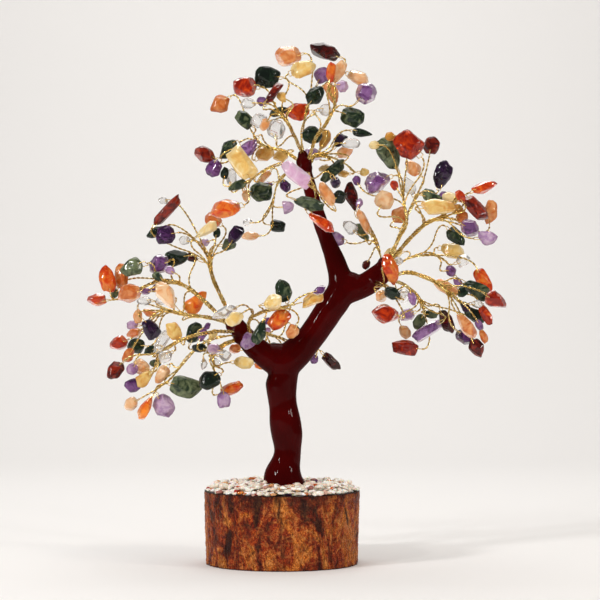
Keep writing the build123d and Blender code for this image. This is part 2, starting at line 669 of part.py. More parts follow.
def stem_route(station, stone):
    """Route of a stone's stem from its bunch's skin to the loop, or None where it would lie along it."""
    place, ahead, is_end = station
    end = stone.at(stone.length / 2 + LOOP_STANDOFF + WIRE_DIAMETER / 2 + STEM_SEAT_GAP, 0, 0)
    bend = end + stone.u * min(STEM_BEND_REACH, STEM_BEND_SHARE * (end - place).length)
    leave = (bend - place).normalized()
    turn = math.radians(ahead.get_angle(leave))
    radius = STEM_DIAMETER / 2
    if is_end and turn < math.pi / 4:
        clear = (STEM_SEAT_GAP + radius * math.sin(turn)) / math.cos(turn)
    elif math.radians(STEM_LEAST_TURN) < turn < math.radians(180 - STEM_LEAST_TURN):
        clear = (BUNCH_DIAMETER / 2 + STEM_SEAT_GAP + radius * abs(math.cos(turn))) / math.sin(turn)
    else:
        return None
    if clear > STEM_LATEST_START * (bend - place).length:
        return None
    return drop_straight_points([place + leave * clear, bend, end])


def bunch_stations(route):
    """Points along the outer part of a bunch where stems may leave it, with the way it runs."""
    way = bent_line(route)
    count = round(way.length * (1 - FIRST_STATION_SHARE) / STATION_SPACING)
    stations = []
    for index in range(count + 1):
        share = FIRST_STATION_SHARE + (1 - FIRST_STATION_SHARE) * index / count
        stations.append((way @ share, way % share, index == count))
    return stations


def bunch_beads(route):
    """Balls along a bunch."""
    way = bent_line(route)
    count = round(way.length / BEAD_STEP)
    return [(way @ (index / count), BUNCH_DIAMETER / 2) for index in range(count + 1)]


def ranked_stations(stations, stone):
    """Stations in order of how well a stem can leave them for a stone."""
    def cost(station):
        place, ahead, _ = station
        away = stone.middle - place
        return away.length + STATION_TURN_COST * (1 - ahead.dot(away.normalized()))
    return sorted(stations, key=cost)


def trunk_beads():
    """Balls that fill the trunk."""
    spots = []
    for stations in (STEM, RIGHT_FORK, RIGHT_LIMB, TOP_LIMB, LEFT_LIMB):
        for start, end in zip(stations, stations[1:]):
            for share in (0.0, 0.25, 0.5, 0.75, 1.0):
                place = station_point(start) * (1 - share) + station_point(end) * share
                spots.append((place, start[3] * (1 - share) + end[3] * share + TRUNK_GAP - STONE_GAP))
    return spots


def clear_gap(balls, others):
    """Smallest gap to the balls that stand close by, or the gap asked for where none does."""
    low, high = balls[:, :3].min(axis=0), balls[:, :3].max(axis=0)
    reach = balls[:, 3].max() + others[:, 3:] + 2 * STONE_GAP
    close = (others[:, :3] > low - reach).all(axis=1) & (others[:, :3] < high + reach).all(axis=1)
    return least_gap(balls, others[close]) if close.any() else 2 * STONE_GAP


def places_to_try(name, number):
    """Depths and nudges for a stone, the likeliest first."""
    low, high = layer_range(name)
    liked = low + (high - low) * ((number + 1) * GOLDEN_SHARE % 1)
    depths = [float(depth) for depth in numpy.arange(low, high + DEPTH_STEP / 2, DEPTH_STEP)]
    depths.sort(key=lambda depth: abs(depth - liked))
    nudges = [(x, z) for x in NUDGE_STEPS for z in NUDGE_STEPS]
    nudges.sort(key=lambda nudge: math.hypot(*nudge))
    return [(depth, nudge) for nudge in nudges for depth in depths]


def hang_stone(name, number, stations, fixed, taken):
    """Find the first place and station that keep a stone and its stem clear of what is there."""
    limb = SPRIGS[name][0]
    row = STONES[name][number]
    best_gap, best = -math.inf, None
    for depth, nudge in places_to_try(name, number):
        stone = Stone(limb, row, depth, nudge, f"{name} {number}")
        for station in ranked_stations(stations, stone)[:STATIONS_TRIED]:
            stone.face_towards(station[0])
            stem = stem_route(station, stone)
            if stem is None:
                continue
            chip = stone.beads()
            gap = min(
                clear_gap(numpy.vstack([chip, stem_beads(stem, skip=BUNCH_DIAMETER)]), fixed),
                clear_gap(numpy.vstack([chip, stem_beads(stem)]), taken),
            )
            if gap > best_gap:
                best_gap, best = gap, (depth, nudge, station)
            if gap >= STONE_GAP:
                break
        if best_gap >= STONE_GAP:
            break
    if best_gap < STONE_GAP:
        print(f"{name} stone {number} ({row[0]}) has a gap of only {best_gap:.2f}")
    depth, nudge, station = best
    stone = Stone(limb, row, depth, nudge, f"{name} {number}")
    stone.face_towards(station[0])
    return stone, stem_route(station, stone)


def hang_stones(name, fixed, taken):
    """Hang all stones of a sprig, and add their balls to the table of taken places."""
    stations = bunch_stations(sprig_route(name))
    hung = []
    for number in range(len(STONES[name])):
        stone, stem = hang_stone(name, number, stations, fixed, taken)
        taken = numpy.vstack([taken, stone.beads(), stem_beads(stem)])
        hung.append((stone, stem))
    return hung, taken


def limb_solid(stations):
    """Smooth bar through the round stations of one limb."""
    places = [station_point(station) for station in stations]
    with BuildPart() as limb:
        for index, place in enumerate(places):
            before, after = places[max(index - 1, 0)], places[min(index + 1, len(places) - 1)]
            ahead = (after - before).normalized()
            across = (FRONT - ahead * FRONT.dot(ahead)).normalized()
            with BuildSketch(Plane(place, x_dir=across, z_dir=ahead)):
                Circle(stations[index][3])
        loft()
    return limb.part


def core_route(stations):
    """Route of the wires inside a limb."""
    return [station_point(station) for station in stations]


# Places of all stones and stems
routes = {name: sprig_route(name) for name in SPRIGS}
fixed_spots = trunk_beads()
for route in routes.values():
    fixed_spots += bunch_beads(route)
fixed_balls = as_table(fixed_spots)
taken_balls = as_table(trunk_beads())
hangings = {}
for name in SPRIGS:
    hangings[name], taken_balls = hang_stones(name, fixed_balls, taken_balls)

# Log block, with the hole that takes the wires' foot
block_radius = LOG_DIAMETER / 2 - BARK_THICKNESS
stem_core_diameter = 2 * (min(station[3] for station in STEM) - CORE_WALL)
with BuildPart() as log_block:
    Cylinder(block_radius, LOG_HEIGHT, align=(Align.CENTER, Align.CENTER, Align.MIN))
    with Locations((STEM[0][0], STEM[0][1], LOG_HEIGHT)):
        Hole(stem_core_diameter / 2 + CORE_CLEARANCE, depth=LOG_HOLE_DEPTH)
log_block.part.label = "log_block"
export_step(log_block.part, "parts/log_block.step")

# Bark, a wavy ring round the block that widens towards the top
def bark_outline(radius):
    """Points round the bark at one height, in uneven waves."""
    points = []
    for index in range(BARK_POINTS):
        turn = 2 * math.pi * index / BARK_POINTS
        wave = math.sin(3 * turn + 0.6) * 0.5 + math.sin(7 * turn) * 0.3 + math.sin(11 * turn + 1.0) * 0.2
        reach = radius + BARK_WAVE * wave
        points.append((reach * math.cos(turn), reach * math.sin(turn)))
    return points


with BuildPart() as bark:
    for height, radius in ((0, LOG_DIAMETER / 2 - BARK_FLARE), (LOG_HEIGHT, LOG_DIAMETER / 2)):
        with BuildSketch(Plane.XY.offset(height)):
            Polygon(*bark_outline(radius), align=None)
    loft(ruled=True)
    Cylinder(block_radius, 2 * LOG_HEIGHT + 2, mode=Mode.SUBTRACT)
bark.part.label = "bark"
export_step(bark.part, "parts/bark.step")

# Wire armature inside the trunk, with its foot in the log
limb_cores = []
foot = Vector(STEM[0][0], STEM[0][1], LOG_HEIGHT - LOG_HOLE_DEPTH)
for stations, end in ((STEM, None), (RIGHT_FORK, None), (LEFT_LIMB, -2), (RIGHT_LIMB, -2), (TOP_LIMB, -2)):
    inside = stations[:end]
    diameter = 2 * (min(station[3] for station in inside) - CORE_WALL)
    way = core_route(inside)
    if stations is STEM:
        way = [foot] + way[1:]
    limb_cores.append(tube(way, diameter))
with BuildPart() as armature:
    add(limb_cores)
armature.part.label = "wire_armature"
export_step(armature.part, "parts/wire_armature.step")

# Putty trunk, open inside for the armature, with a seat for each sprig's root
root_seats = []
for route in routes.values():
    leave = (route[1] - route[0]).normalized()
    seat_radius = BUNCH_DIAMETER / 2 + HINGE_CLEARANCE
    mouth_radius = seat_radius + ROOT_CUT_LENGTH * math.tan(math.radians(ROOT_SWING))
    with BuildPart(Plane(route[0], z_dir=leave)) as seat:
        Sphere(seat_radius)
        Cone(seat_radius, mouth_radius, ROOT_CUT_LENGTH, align=(Align.CENTER, Align.CENTER, Align.MIN))
    root_seats.append(seat.part)
with BuildPart() as trunk:
    for stations in (STEM, RIGHT_FORK, RIGHT_LIMB, TOP_LIMB, LEFT_LIMB):
        add(limb_solid(stations))
    add(armature.part, mode=Mode.SUBTRACT)
    add(root_seats, mode=Mode.SUBTRACT)
trunk.part.label = "trunk"
export_step(trunk.part, "parts/trunk.step")

# Glue bed round the trunk's foot
with BuildPart() as glue_bed:
    with Locations((0, 0, LOG_HEIGHT)):
        Cylinder(block_radius, GLUE_THICKNESS, align=(Align.CENTER, Align.CENTER, Align.MIN))
    add(trunk.part, mode=Mode.SUBTRACT)
    add(armature.part, mode=Mode.SUBTRACT)
glue_bed.part.label = "glue_bed"
export_step(glue_bed.part, "parts/glue_bed.step")

# Gravel chips, spread evenly round the foot
gravel_spacing = block_radius * math.sqrt(math.pi / GRAVEL_COUNT)
gravel_size = GRAVEL_FILL * gravel_spacing
gravel_level = LOG_HEIGHT + GLUE_THICKNESS
chance = random.Random("gravel")
gravel = {kind: [] for kind in GRAVEL_SHARES}
for index in range(GRAVEL_COUNT):
    reach = (block_radius - gravel_size / 2) * math.sqrt((index + 0.5) / GRAVEL_COUNT)
    turn = math.radians(GOLDEN_ANGLE * index)
    middle = Vector(reach * math.cos(turn), reach * math.sin(turn), gravel_level)
    kind = chance.choices(list(GRAVEL_SHARES), weights=GRAVEL_SHARES.values())[0]
    height = GRAVEL_HEIGHT * chance.uniform(0.6, 1.0)
    radius = gravel_size / 2 * chance.uniform(0.8, 1.0)
    squeeze = chance.uniform(0.65, 1.0)
    lie = math.radians(chance.uniform(0, 360))
    if (middle - station_point(STEM[0])).length < STEM[0][3] + gravel_size:
        continue
    corners = []
    for count, size, level in ((4, 0.7, 0.0), (6, 1.0, 0.45), (4, 0.6, 1.0)):
        start = chance.uniform(0, 360)
        for corner in range(count):
            angle = math.radians(start + 360 * corner / count)
            swell = radius * size * chance.uniform(0.85, 1.0)
            along, across = math.cos(angle) * swell, math.sin(angle) * swell * squeeze
            x = along * math.cos(lie) - across * math.sin(lie)
            y = along * math.sin(lie) + across * math.cos(lie)
            lift = height * level * (1 if level < 1 else chance.uniform(0.8, 1.0))
            corners.append(middle + Vector(x, y, lift))
    gravel[kind].append(ConvexPolyhedron(corners))
for kind, chips in gravel.items():
    layer = Compound(label=f"{kind}_gravel", children=chips)
    export_step(layer, f"parts/{kind}_gravel.step")

# Sprigs: the bunch with its round root, the stems with their loops, and the stones
for name, hung in hangings.items():
    route = routes[name]
    with BuildPart() as bunch:
        add(tube(route, BUNCH_DIAMETER))
        with Locations(route[0]):
            Sphere(BUNCH_DIAMETER / 2)
    wires = Compound(
        label=f"{name}_wires",
        children=[bunch.part]
        + [tube(stem, STEM_DIAMETER) for _, stem in hung]
        + [stone.loop() for stone, _ in hung],
    )
    export_step(wires, f"parts/{name}_wires.step")
    stones = Compound(label=f"{name}_stones", children=[stone.solid() for stone, _ in hung])
    export_step(stones, f"parts/{name}_stones.step")
    root = route[0]
    print(f"root {name} {root.X:.4f} {root.Y:.4f} {root.Z:.4f}")
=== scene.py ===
"""Gemstone tree ornament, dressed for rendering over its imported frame.

Each group of pieces has its own operator: the bark-edged log slice, the gravel on it, the
lacquered trunk, the twisted wires and the tumbled chips. Lengths are in metres.
"""
import json
import math
import random

import bmesh
import bpy
import numpy
from bpy.props import FloatProperty, FloatVectorProperty, IntProperty, PointerProperty
from mathutils import Matrix, Vector, noise


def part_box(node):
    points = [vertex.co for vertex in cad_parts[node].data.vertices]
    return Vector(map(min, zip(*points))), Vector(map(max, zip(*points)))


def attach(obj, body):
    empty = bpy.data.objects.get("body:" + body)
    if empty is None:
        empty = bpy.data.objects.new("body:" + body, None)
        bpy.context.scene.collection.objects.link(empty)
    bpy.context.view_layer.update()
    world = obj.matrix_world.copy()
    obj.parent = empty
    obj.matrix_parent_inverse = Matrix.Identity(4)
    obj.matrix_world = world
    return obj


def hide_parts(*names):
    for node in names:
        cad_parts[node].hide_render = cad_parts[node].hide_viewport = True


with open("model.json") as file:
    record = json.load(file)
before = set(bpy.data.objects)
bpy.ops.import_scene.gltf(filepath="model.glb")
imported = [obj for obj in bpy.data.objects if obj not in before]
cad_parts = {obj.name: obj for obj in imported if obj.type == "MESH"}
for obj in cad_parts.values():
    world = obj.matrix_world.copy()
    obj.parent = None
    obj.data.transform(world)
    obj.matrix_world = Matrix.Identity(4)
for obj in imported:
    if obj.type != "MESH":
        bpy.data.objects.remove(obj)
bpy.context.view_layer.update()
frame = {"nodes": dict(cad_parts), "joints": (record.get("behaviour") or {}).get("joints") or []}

bl_info = {
    "name": "Gemstone Tree",
    "version": (1, 0, 0),
    "blender": (4, 5, 0),
    "location": "View3D > Sidebar > Gemstone Tree",
    "description": "Dresses a wire tree of tumbled stone chips on a log slice",
    "category": "Object",
}

MM = 0.001
TREE = "tree"
WIRE_STEP = 0.5 * MM

# Dents of a chip: waves over its radius, and the share of the depth that they take
DENT_WAVES = ((1.3, 1.0), (3.1, 0.5))

# Faces lie in one plane when their normals agree this well, and an end is round when its rim's
# nearest point lies at this share of its farthest point's distance from the middle
FLAT, ROUND = 0.99999, 0.9

# Sine of the angle below which two lines count as running alike
ALIKE = 0.02

# A bunch's line is read up to this distance from its root
ROOT_GAP = 1.5 * MM

# Steps in the bend where a wire leaves its bunch
BEND_STEPS = 12

# Distance of a strand's middle from the line of its twisted pair, as a share of its diameter
NEST = 0.48

# Kinds of chip on each sprig, in the order in which they hang there
SPRIG_CHIPS = {
    "left_upper": "aventurine amethyst quartz jasper quartz jasper yellow lilac peach aventurine "
                  "aventurine amethyst",
    "left_mid": "carnelian carnelian aventurine peach peach aventurine lilac amethyst aventurine "
                "amethyst peach lilac aventurine",
    "left_low": "carnelian peach lilac peach aventurine peach quartz peach amethyst quartz carnelian",
    "left_down": "jasper lilac amethyst peach yellow aventurine aventurine quartz quartz yellow",
    "left_drop": "peach carnelian peach lilac aventurine aventurine",
    "left_under": "aventurine lilac quartz lilac aventurine yellow lilac quartz lilac quartz "
                  "carnelian yellow",
    "left_inner": "quartz yellow lilac aventurine yellow carnelian aventurine peach yellow lilac",
    "left_back": "peach carnelian lilac lilac aventurine aventurine lilac jasper",
    "top_upper_left": "carnelian quartz quartz lilac peach aventurine jasper quartz aventurine yellow",
    "top_crown": "peach carnelian yellow aventurine lilac jasper",
    "top_left": "jasper amethyst peach aventurine aventurine lilac yellow yellow",
    "top_upper_right": "quartz carnelian peach peach lilac aventurine peach lilac",
    "top_right": "aventurine lilac yellow yellow aventurine amethyst yellow peach quartz aventurine "
                 "yellow",
    "top_low_left": "aventurine carnelian quartz aventurine yellow peach aventurine",
    "top_under": "quartz peach peach amethyst aventurine amethyst lilac",
    "top_front": "rose aventurine carnelian peach amethyst aventurine",
    "right_upper": "lilac yellow lilac peach aventurine yellow carnelian peach carnelian",
    "right_inner": "lilac quartz jasper lilac aventurine peach jasper",
    "right_high": "quartz peach aventurine jasper amethyst lilac",
    "right_out": "aventurine yellow yellow yellow carnelian peach amethyst jasper carnelian lilac peach",
    "right_mid": "yellow lilac yellow aventurine lilac quartz carnelian",
    "right_low": "peach aventurine amethyst amethyst peach aventurine aventurine jasper quartz lilac "
                 "carnelian carnelian",
    "right_under": "peach carnelian lilac aventurine lilac aventurine jasper peach",
    "right_near": "peach carnelian carnelian aventurine quartz quartz lilac",
}

# Record slot of each kind of chip
CHIP_SLOTS = {
    "carnelian": "carnelian",
    "jasper": "red_jasper",
    "amethyst": "amethyst",
    "lilac": "amethyst",
    "aventurine": "green_aventurine",
    "yellow": "peach_aventurine",
    "peach": "peach_aventurine",
    "quartz": "clear_quartz",
    "rose": "clear_quartz",
}

# Share of each kind among the small chips that fill the gravel, out of 100, and its finishes there
GRAVEL_SHARES = {"quartz": 81, "peach": 8, "jasper": 6, "carnelian": 3, "aventurine": 1, "amethyst": 1}
GRAVEL_FINISHES = {"quartz": "gravel_quartz", "jasper": "gravel_jasper"}


def linear(code):
    """Linear red, green and blue of an sRGB hex colour."""
    channels = [int(code[start:start + 2], 16) / 255 for start in (1, 3, 5)]
    return tuple(c / 12.92 if c <= 0.04045 else ((c + 0.055) / 1.055) ** 2.4 for c in channels)


def colour_property(name, description, code):
    """Colour setting with an sRGB hex default."""
    return FloatVectorProperty(
        name=name, description=description, subtype="COLOR", size=3, min=0, max=1, default=linear(code))


class GemTreeSizes(bpy.types.PropertyGroup):
    """Sizes that a user would change."""
    strand: FloatProperty(
        name="Wire strand", description="Diameter of one wire strand", default=0.52 * MM, unit="LENGTH")
    twist: FloatProperty(
        name="Twist length", description="Length of one turn of a twisted stem", default=5.0 * MM,
        unit="LENGTH")
    bunch_twist: FloatProperty(
        name="Bunch twist", description="Length of one turn of a bunch", default=40 * MM, unit="LENGTH")
    chip_hardness: FloatProperty(
        name="Chip edges", description="How crisp the chips' worn edges are", default=24.0, min=1.0,
        subtype="UNSIGNED")
    chip_flats: FloatProperty(
        name="Chip flats", description="How unevenly the flats are ground, as a share of a chip's size",
        default=0.13, min=0.0, max=1.0, subtype="FACTOR")
    chip_dent: FloatProperty(
        name="Chip dents", description="Depth of dents as a share of a chip's size", default=0.08, min=0.0,
        max=1.0, subtype="FACTOR")
    gravel_fill: IntProperty(
        name="Gravel fill", description="Small chips added between the gravel's larger ones", default=820,
        min=0, subtype="UNSIGNED")
    bark_relief: FloatProperty(
        name="Bark relief", description="Depth of the bark's furrows", default=1.0 * MM, unit="LENGTH")
    putty_grid: FloatProperty(
        name="Putty grid", description="Cell of the mesh that the putty is smoothed on", default=0.8 * MM,
        unit="LENGTH")


class GemTreeColours(bpy.types.PropertyGroup):
    """Main colours that a user would change."""
    lacquer: colour_property("Lacquer", "Trunk's lacquer", "#3c0202")
    wire: colour_property("Wire", "Gold-coloured wire", "#e8c067")
    bark: colour_property("Bark", "Middle tone of the bark", "#c64d14")
    floor: colour_property("Floor", "Floor and backdrop", "#f4f2f0")


def sizes():
    """Size settings of the scene."""
    return bpy.context.scene.gem_tree_sizes


def colours():
    """Colour settings of the scene."""
    return bpy.context.scene.gem_tree_colours


def per(size):
    """Texture scale whose features are about this many millimetres wide."""
    return 1 / (size * MM)


def rgba(colour):
    """Colour with full alpha, from an sRGB hex code or from linear channels."""
    channels = linear(colour) if isinstance(colour, str) else tuple(colour)
    return (*channels, 1.0)


def add_node(tree, kind, settings=None, inputs=None, stops=None):
    """Add a shader node with its settings, its values and links by input, and a ramp's stops."""
    made = tree.nodes.new(kind)
    for name, value in (settings or {}).items():
        setattr(made, name, value)
    for key, value in (inputs or {}).items():
        if isinstance(value, bpy.types.NodeSocket):
            tree.links.new(value, made.inputs[key])
        else:
            made.inputs[key].default_value = value
    if stops:
        ramp = made.color_ramp.elements
        while len(ramp) < len(stops):
            ramp.new(0.5)
        for element, (position, colour) in zip(ramp, stops):
            element.position = position
            element.color = rgba(colour)
    return made


def new_material(name, finish):
    """Material with one shader, its finish set, and the place on the piece to read patterns from."""
    material = bpy.data.materials.new(name)
    material.use_nodes = True
    tree = material.node_tree
    tree.nodes.clear()
    shader = add_node(tree, "ShaderNodeBsdfPrincipled", inputs=finish)
    add_node(tree, "ShaderNodeOutputMaterial", inputs={"Surface": shader.outputs["BSDF"]})
    place = add_node(tree, "ShaderNodeTexCoord").outputs["Object"]
    return material, tree, shader, place


def polished(roughness, transmission=0.0, ior=1.54):
    """Shader values of a tumbled stone whose polish shines a little less than bare glass."""
    return {
        "Specular IOR Level": 0.32, "Roughness": roughness, "IOR": ior, "Transmission Weight": transmission}


# Chips: name of the finish, dark, middle and light tone, width of the colour's clouds in millimetres,
# how far clouds and whole chips differ, fleck colour with its width and share, and the shader's values
CHIP_FINISHES = {
    "carnelian": {
        "name": "tumbled carnelian", "tones": ("#8a1000", "#de4405", "#ffa03c"), "cloud": 5.0,
        "contrast": 0.9, "spread": 0.2, "fleck": ("#6e1003", 1.6, 0.34),
        "shader": polished(0.1, 0.45),
    },
    "jasper": {
        "name": "tumbled red jasper", "tones": ("#220302", "#560b06", "#a02c10"), "cloud": 5.0,
        "contrast": 0.9, "spread": 0.15, "fleck": ("#1c0202", 1.8, 0.4),
        "shader": polished(0.1, 0.2),
    },
    "amethyst": {
        "name": "tumbled amethyst", "tones": ("#150720", "#3c1748", "#85508f"), "cloud": 4.5,
        "contrast": 0.9, "spread": 0.16, "fleck": ("#c9a9c9", 1.5, 0.26),
        "shader": polished(0.08, 0.35, ior=1.544),
    },
    "lilac": {
        "name": "tumbled lilac amethyst", "tones": ("#6d3a78", "#aa7cb4", "#dcc0d8"), "cloud": 4.5,
        "contrast": 0.9, "spread": 0.2, "fleck": ("#5a2d62", 1.4, 0.3),
        "shader": polished(0.09, 0.55, ior=1.544),
    },
    "aventurine": {
        "name": "tumbled green aventurine", "tones": ("#07120b", "#1b2c1c", "#6d7655"), "cloud": 4.5,
        "contrast": 0.8, "spread": 0.17, "fleck": ("#7f8b70", 1.2, 0.28),
        "shader": polished(0.13),
    },
    "yellow": {
        "name": "tumbled yellow aventurine", "tones": ("#d9983c", "#f3cf7c", "#fbeab9"), "cloud": 5.0,
        "contrast": 0.7, "spread": 0.2, "fleck": ("#c98d3c", 1.7, 0.24),
        "shader": polished(0.14, 0.3),
    },
    "peach": {
        "name": "tumbled peach aventurine", "tones": ("#cc6626", "#eda362", "#f9d5a8"), "cloud": 5.0,
        "contrast": 0.8, "spread": 0.2, "fleck": ("#b9531f", 1.6, 0.28),
        "shader": polished(0.13, 0.35),
    },
    "quartz": {
        "name": "tumbled clear quartz", "tones": ("#e9e7e6", "#f6f5f4", "#ffffff"), "cloud": 4.0,
        "contrast": 0.8, "spread": 0.1, "fleck": ("#c9c6c4", 1.0, 0.25),
        "shader": {"Roughness": 0.04, "IOR": 1.544, "Transmission Weight": 0.84},
    },
    "rose": {
        "name": "tumbled rose quartz", "tones": ("#d79cc4", "#e8bfdb", "#f6e1ee"), "cloud": 5.0,
        "contrast": 0.8, "spread": 0.0, "fleck": ("#f9eef5", 1.5, 0.3),
        "shader": polished(0.1, 0.4, ior=1.544),
    },
    "gravel_jasper": {
        "name": "brown jasper gravel", "tones": ("#84463a", "#b07062", "#d8ac98"), "cloud": 3.0,
        "contrast": 0.7, "spread": 0.3, "fleck": ("#e0bfa4", 0.9, 0.25),
        "shader": {"Roughness": 0.25, "IOR": 1.54},
    },
    "gravel_quartz": {
        "name": "milky quartz gravel", "tones": ("#e6d3bd", "#f9efe2", "#fffaf3"), "cloud": 3.0,
        "contrast": 0.7, "spread": 0.25, "fleck": ("#c4ad93", 0.9, 0.25),
        "shader": {"Roughness": 0.3, "IOR": 1.54, "Subsurface Weight": 0.2, "Subsurface Scale": 0.001},
    },
}


def tumbled_stone(kind):
    """Polished stone: clouds of three tones, small flecks, and a faint orange peel from the tumbler."""
    finish = CHIP_FINISHES[kind]
    name = finish["name"]
    if name in bpy.data.materials:
        return bpy.data.materials[name]
    material, tree, shader, place = new_material(name, finish["shader"])
    dark, middle, light = finish["tones"]
    fleck_colour, fleck_size, fleck_share = finish["fleck"]
    tone = add_node(tree, "ShaderNodeAttribute", {"attribute_name": "tone"}).outputs["Fac"]
    cloud = add_node(tree, "ShaderNodeTexNoise", inputs={
        "Vector": place, "Scale": per(finish["cloud"]), "Detail": 3.0, "Distortion": 1.4}).outputs["Fac"]
    shade = add_node(tree, "ShaderNodeMath", {"operation": "MULTIPLY_ADD"}, {
        0: cloud, 1: finish["contrast"], 2: tone}).outputs[0]
    body = add_node(tree, "ShaderNodeValToRGB", inputs={"Fac": shade}, stops=[
        (0.28, dark), (0.5, middle), (0.74, light)]).outputs["Color"]
    grain = add_node(tree, "ShaderNodeTexNoise", inputs={
        "Vector": place, "Scale": per(fleck_size), "Detail": 4.0, "Distortion": 0.6}).outputs["Fac"]
    fleck = add_node(tree, "ShaderNodeMapRange", inputs={
        "Value": grain, "From Min": 1 - fleck_share, "From Max": 1 - fleck_share + 0.1,
        "To Max": 0.75}).outputs[0]
    tint = add_node(tree, "ShaderNodeMix", {"data_type": "RGBA"}, {
        0: fleck, 6: body, 7: rgba(fleck_colour)}).outputs[2]
    bump = add_node(tree, "ShaderNodeBump", inputs={
        "Height": grain, "Strength": 0.12, "Distance": 0.12 * MM}).outputs["Normal"]
    tree.links.new(tint, shader.inputs["Base Color"])
    tree.links.new(bump, shader.inputs["Normal"])
    return material


def lacquered_putty():
    """Epoxy putty under gloss lacquer: nearly black maroon, long soft waves, a clear hard coat."""
    material, tree, shader, place = new_material("maroon lacquer on putty", {
        "Roughness": 0.4, "IOR": 1.45, "Specular IOR Level": 0.0,
        "Coat Weight": 0.22, "Coat Roughness": 0.06, "Coat IOR": 1.33})
    cloud = add_node(tree, "ShaderNodeTexNoise", inputs={
        "Vector": place, "Scale": per(22), "Detail": 3.0}).outputs["Fac"]
    main = colours().lacquer
    body = add_node(tree, "ShaderNodeValToRGB", inputs={"Fac": cloud}, stops=[
        (0.3, tuple(0.6 * c for c in main)), (0.55, tuple(main)), (0.75, tuple(1.5 * c for c in main))])
    wave = add_node(tree, "ShaderNodeTexNoise", inputs={
        "Vector": place, "Scale": per(7), "Detail": 1.5}).outputs["Fac"]
    bump = add_node(tree, "ShaderNodeBump", inputs={
        "Height": wave, "Strength": 0.4, "Distance": 1.5 * MM}).outputs["Normal"]
    tree.links.new(body.outputs["Color"], shader.inputs["Base Color"])
    tree.links.new(bump, shader.inputs["Normal"])
    return material


def gold_wire():
    """Soft gold-plated wire: a warm metal in random darker and paler patches, the palest of them painted
    highlights, with painted shade in the grooves between its twisted strands.
    """
    material, tree, shader, place = new_material("gold-plated wire", {"Metallic": 1.0, "Roughness": 0.2})
    # Random patches of darker and paler gold: the darker ones are wear, and the pale cream stop is a painted
    # highlight
    wear_and_highlight = add_node(tree, "ShaderNodeTexNoise", inputs={
        "Vector": place, "Scale": per(3), "Detail": 3.0}).outputs["Fac"]
    main = colours().wire
    body = add_node(tree, "ShaderNodeValToRGB", inputs={"Fac": wear_and_highlight}, stops=[
        (0.3, tuple(0.7 * c for c in main)), (0.5, tuple(main)), (0.7, "#fff0b4")]).outputs["Color"]
    # Painted shade: the strands turn dark brown where they lie deep in the groove between the two strands of
    # a pair
    groove = add_node(tree, "ShaderNodeAttribute", {"attribute_name": "groove"}).outputs["Fac"]
    groove_shade = add_node(tree, "ShaderNodeMapRange", inputs={
        "Value": groove, "From Min": 0.3, "From Max": 0.7, "To Max": 0.9}).outputs[0]
    groove_shaded = add_node(tree, "ShaderNodeMix", {"data_type": "RGBA"}, {
        0: groove_shade, 6: body, 7: rgba("#4a2607")}).outputs[2]
    tree.links.new(groove_shaded, shader.inputs["Base Color"])
    return material


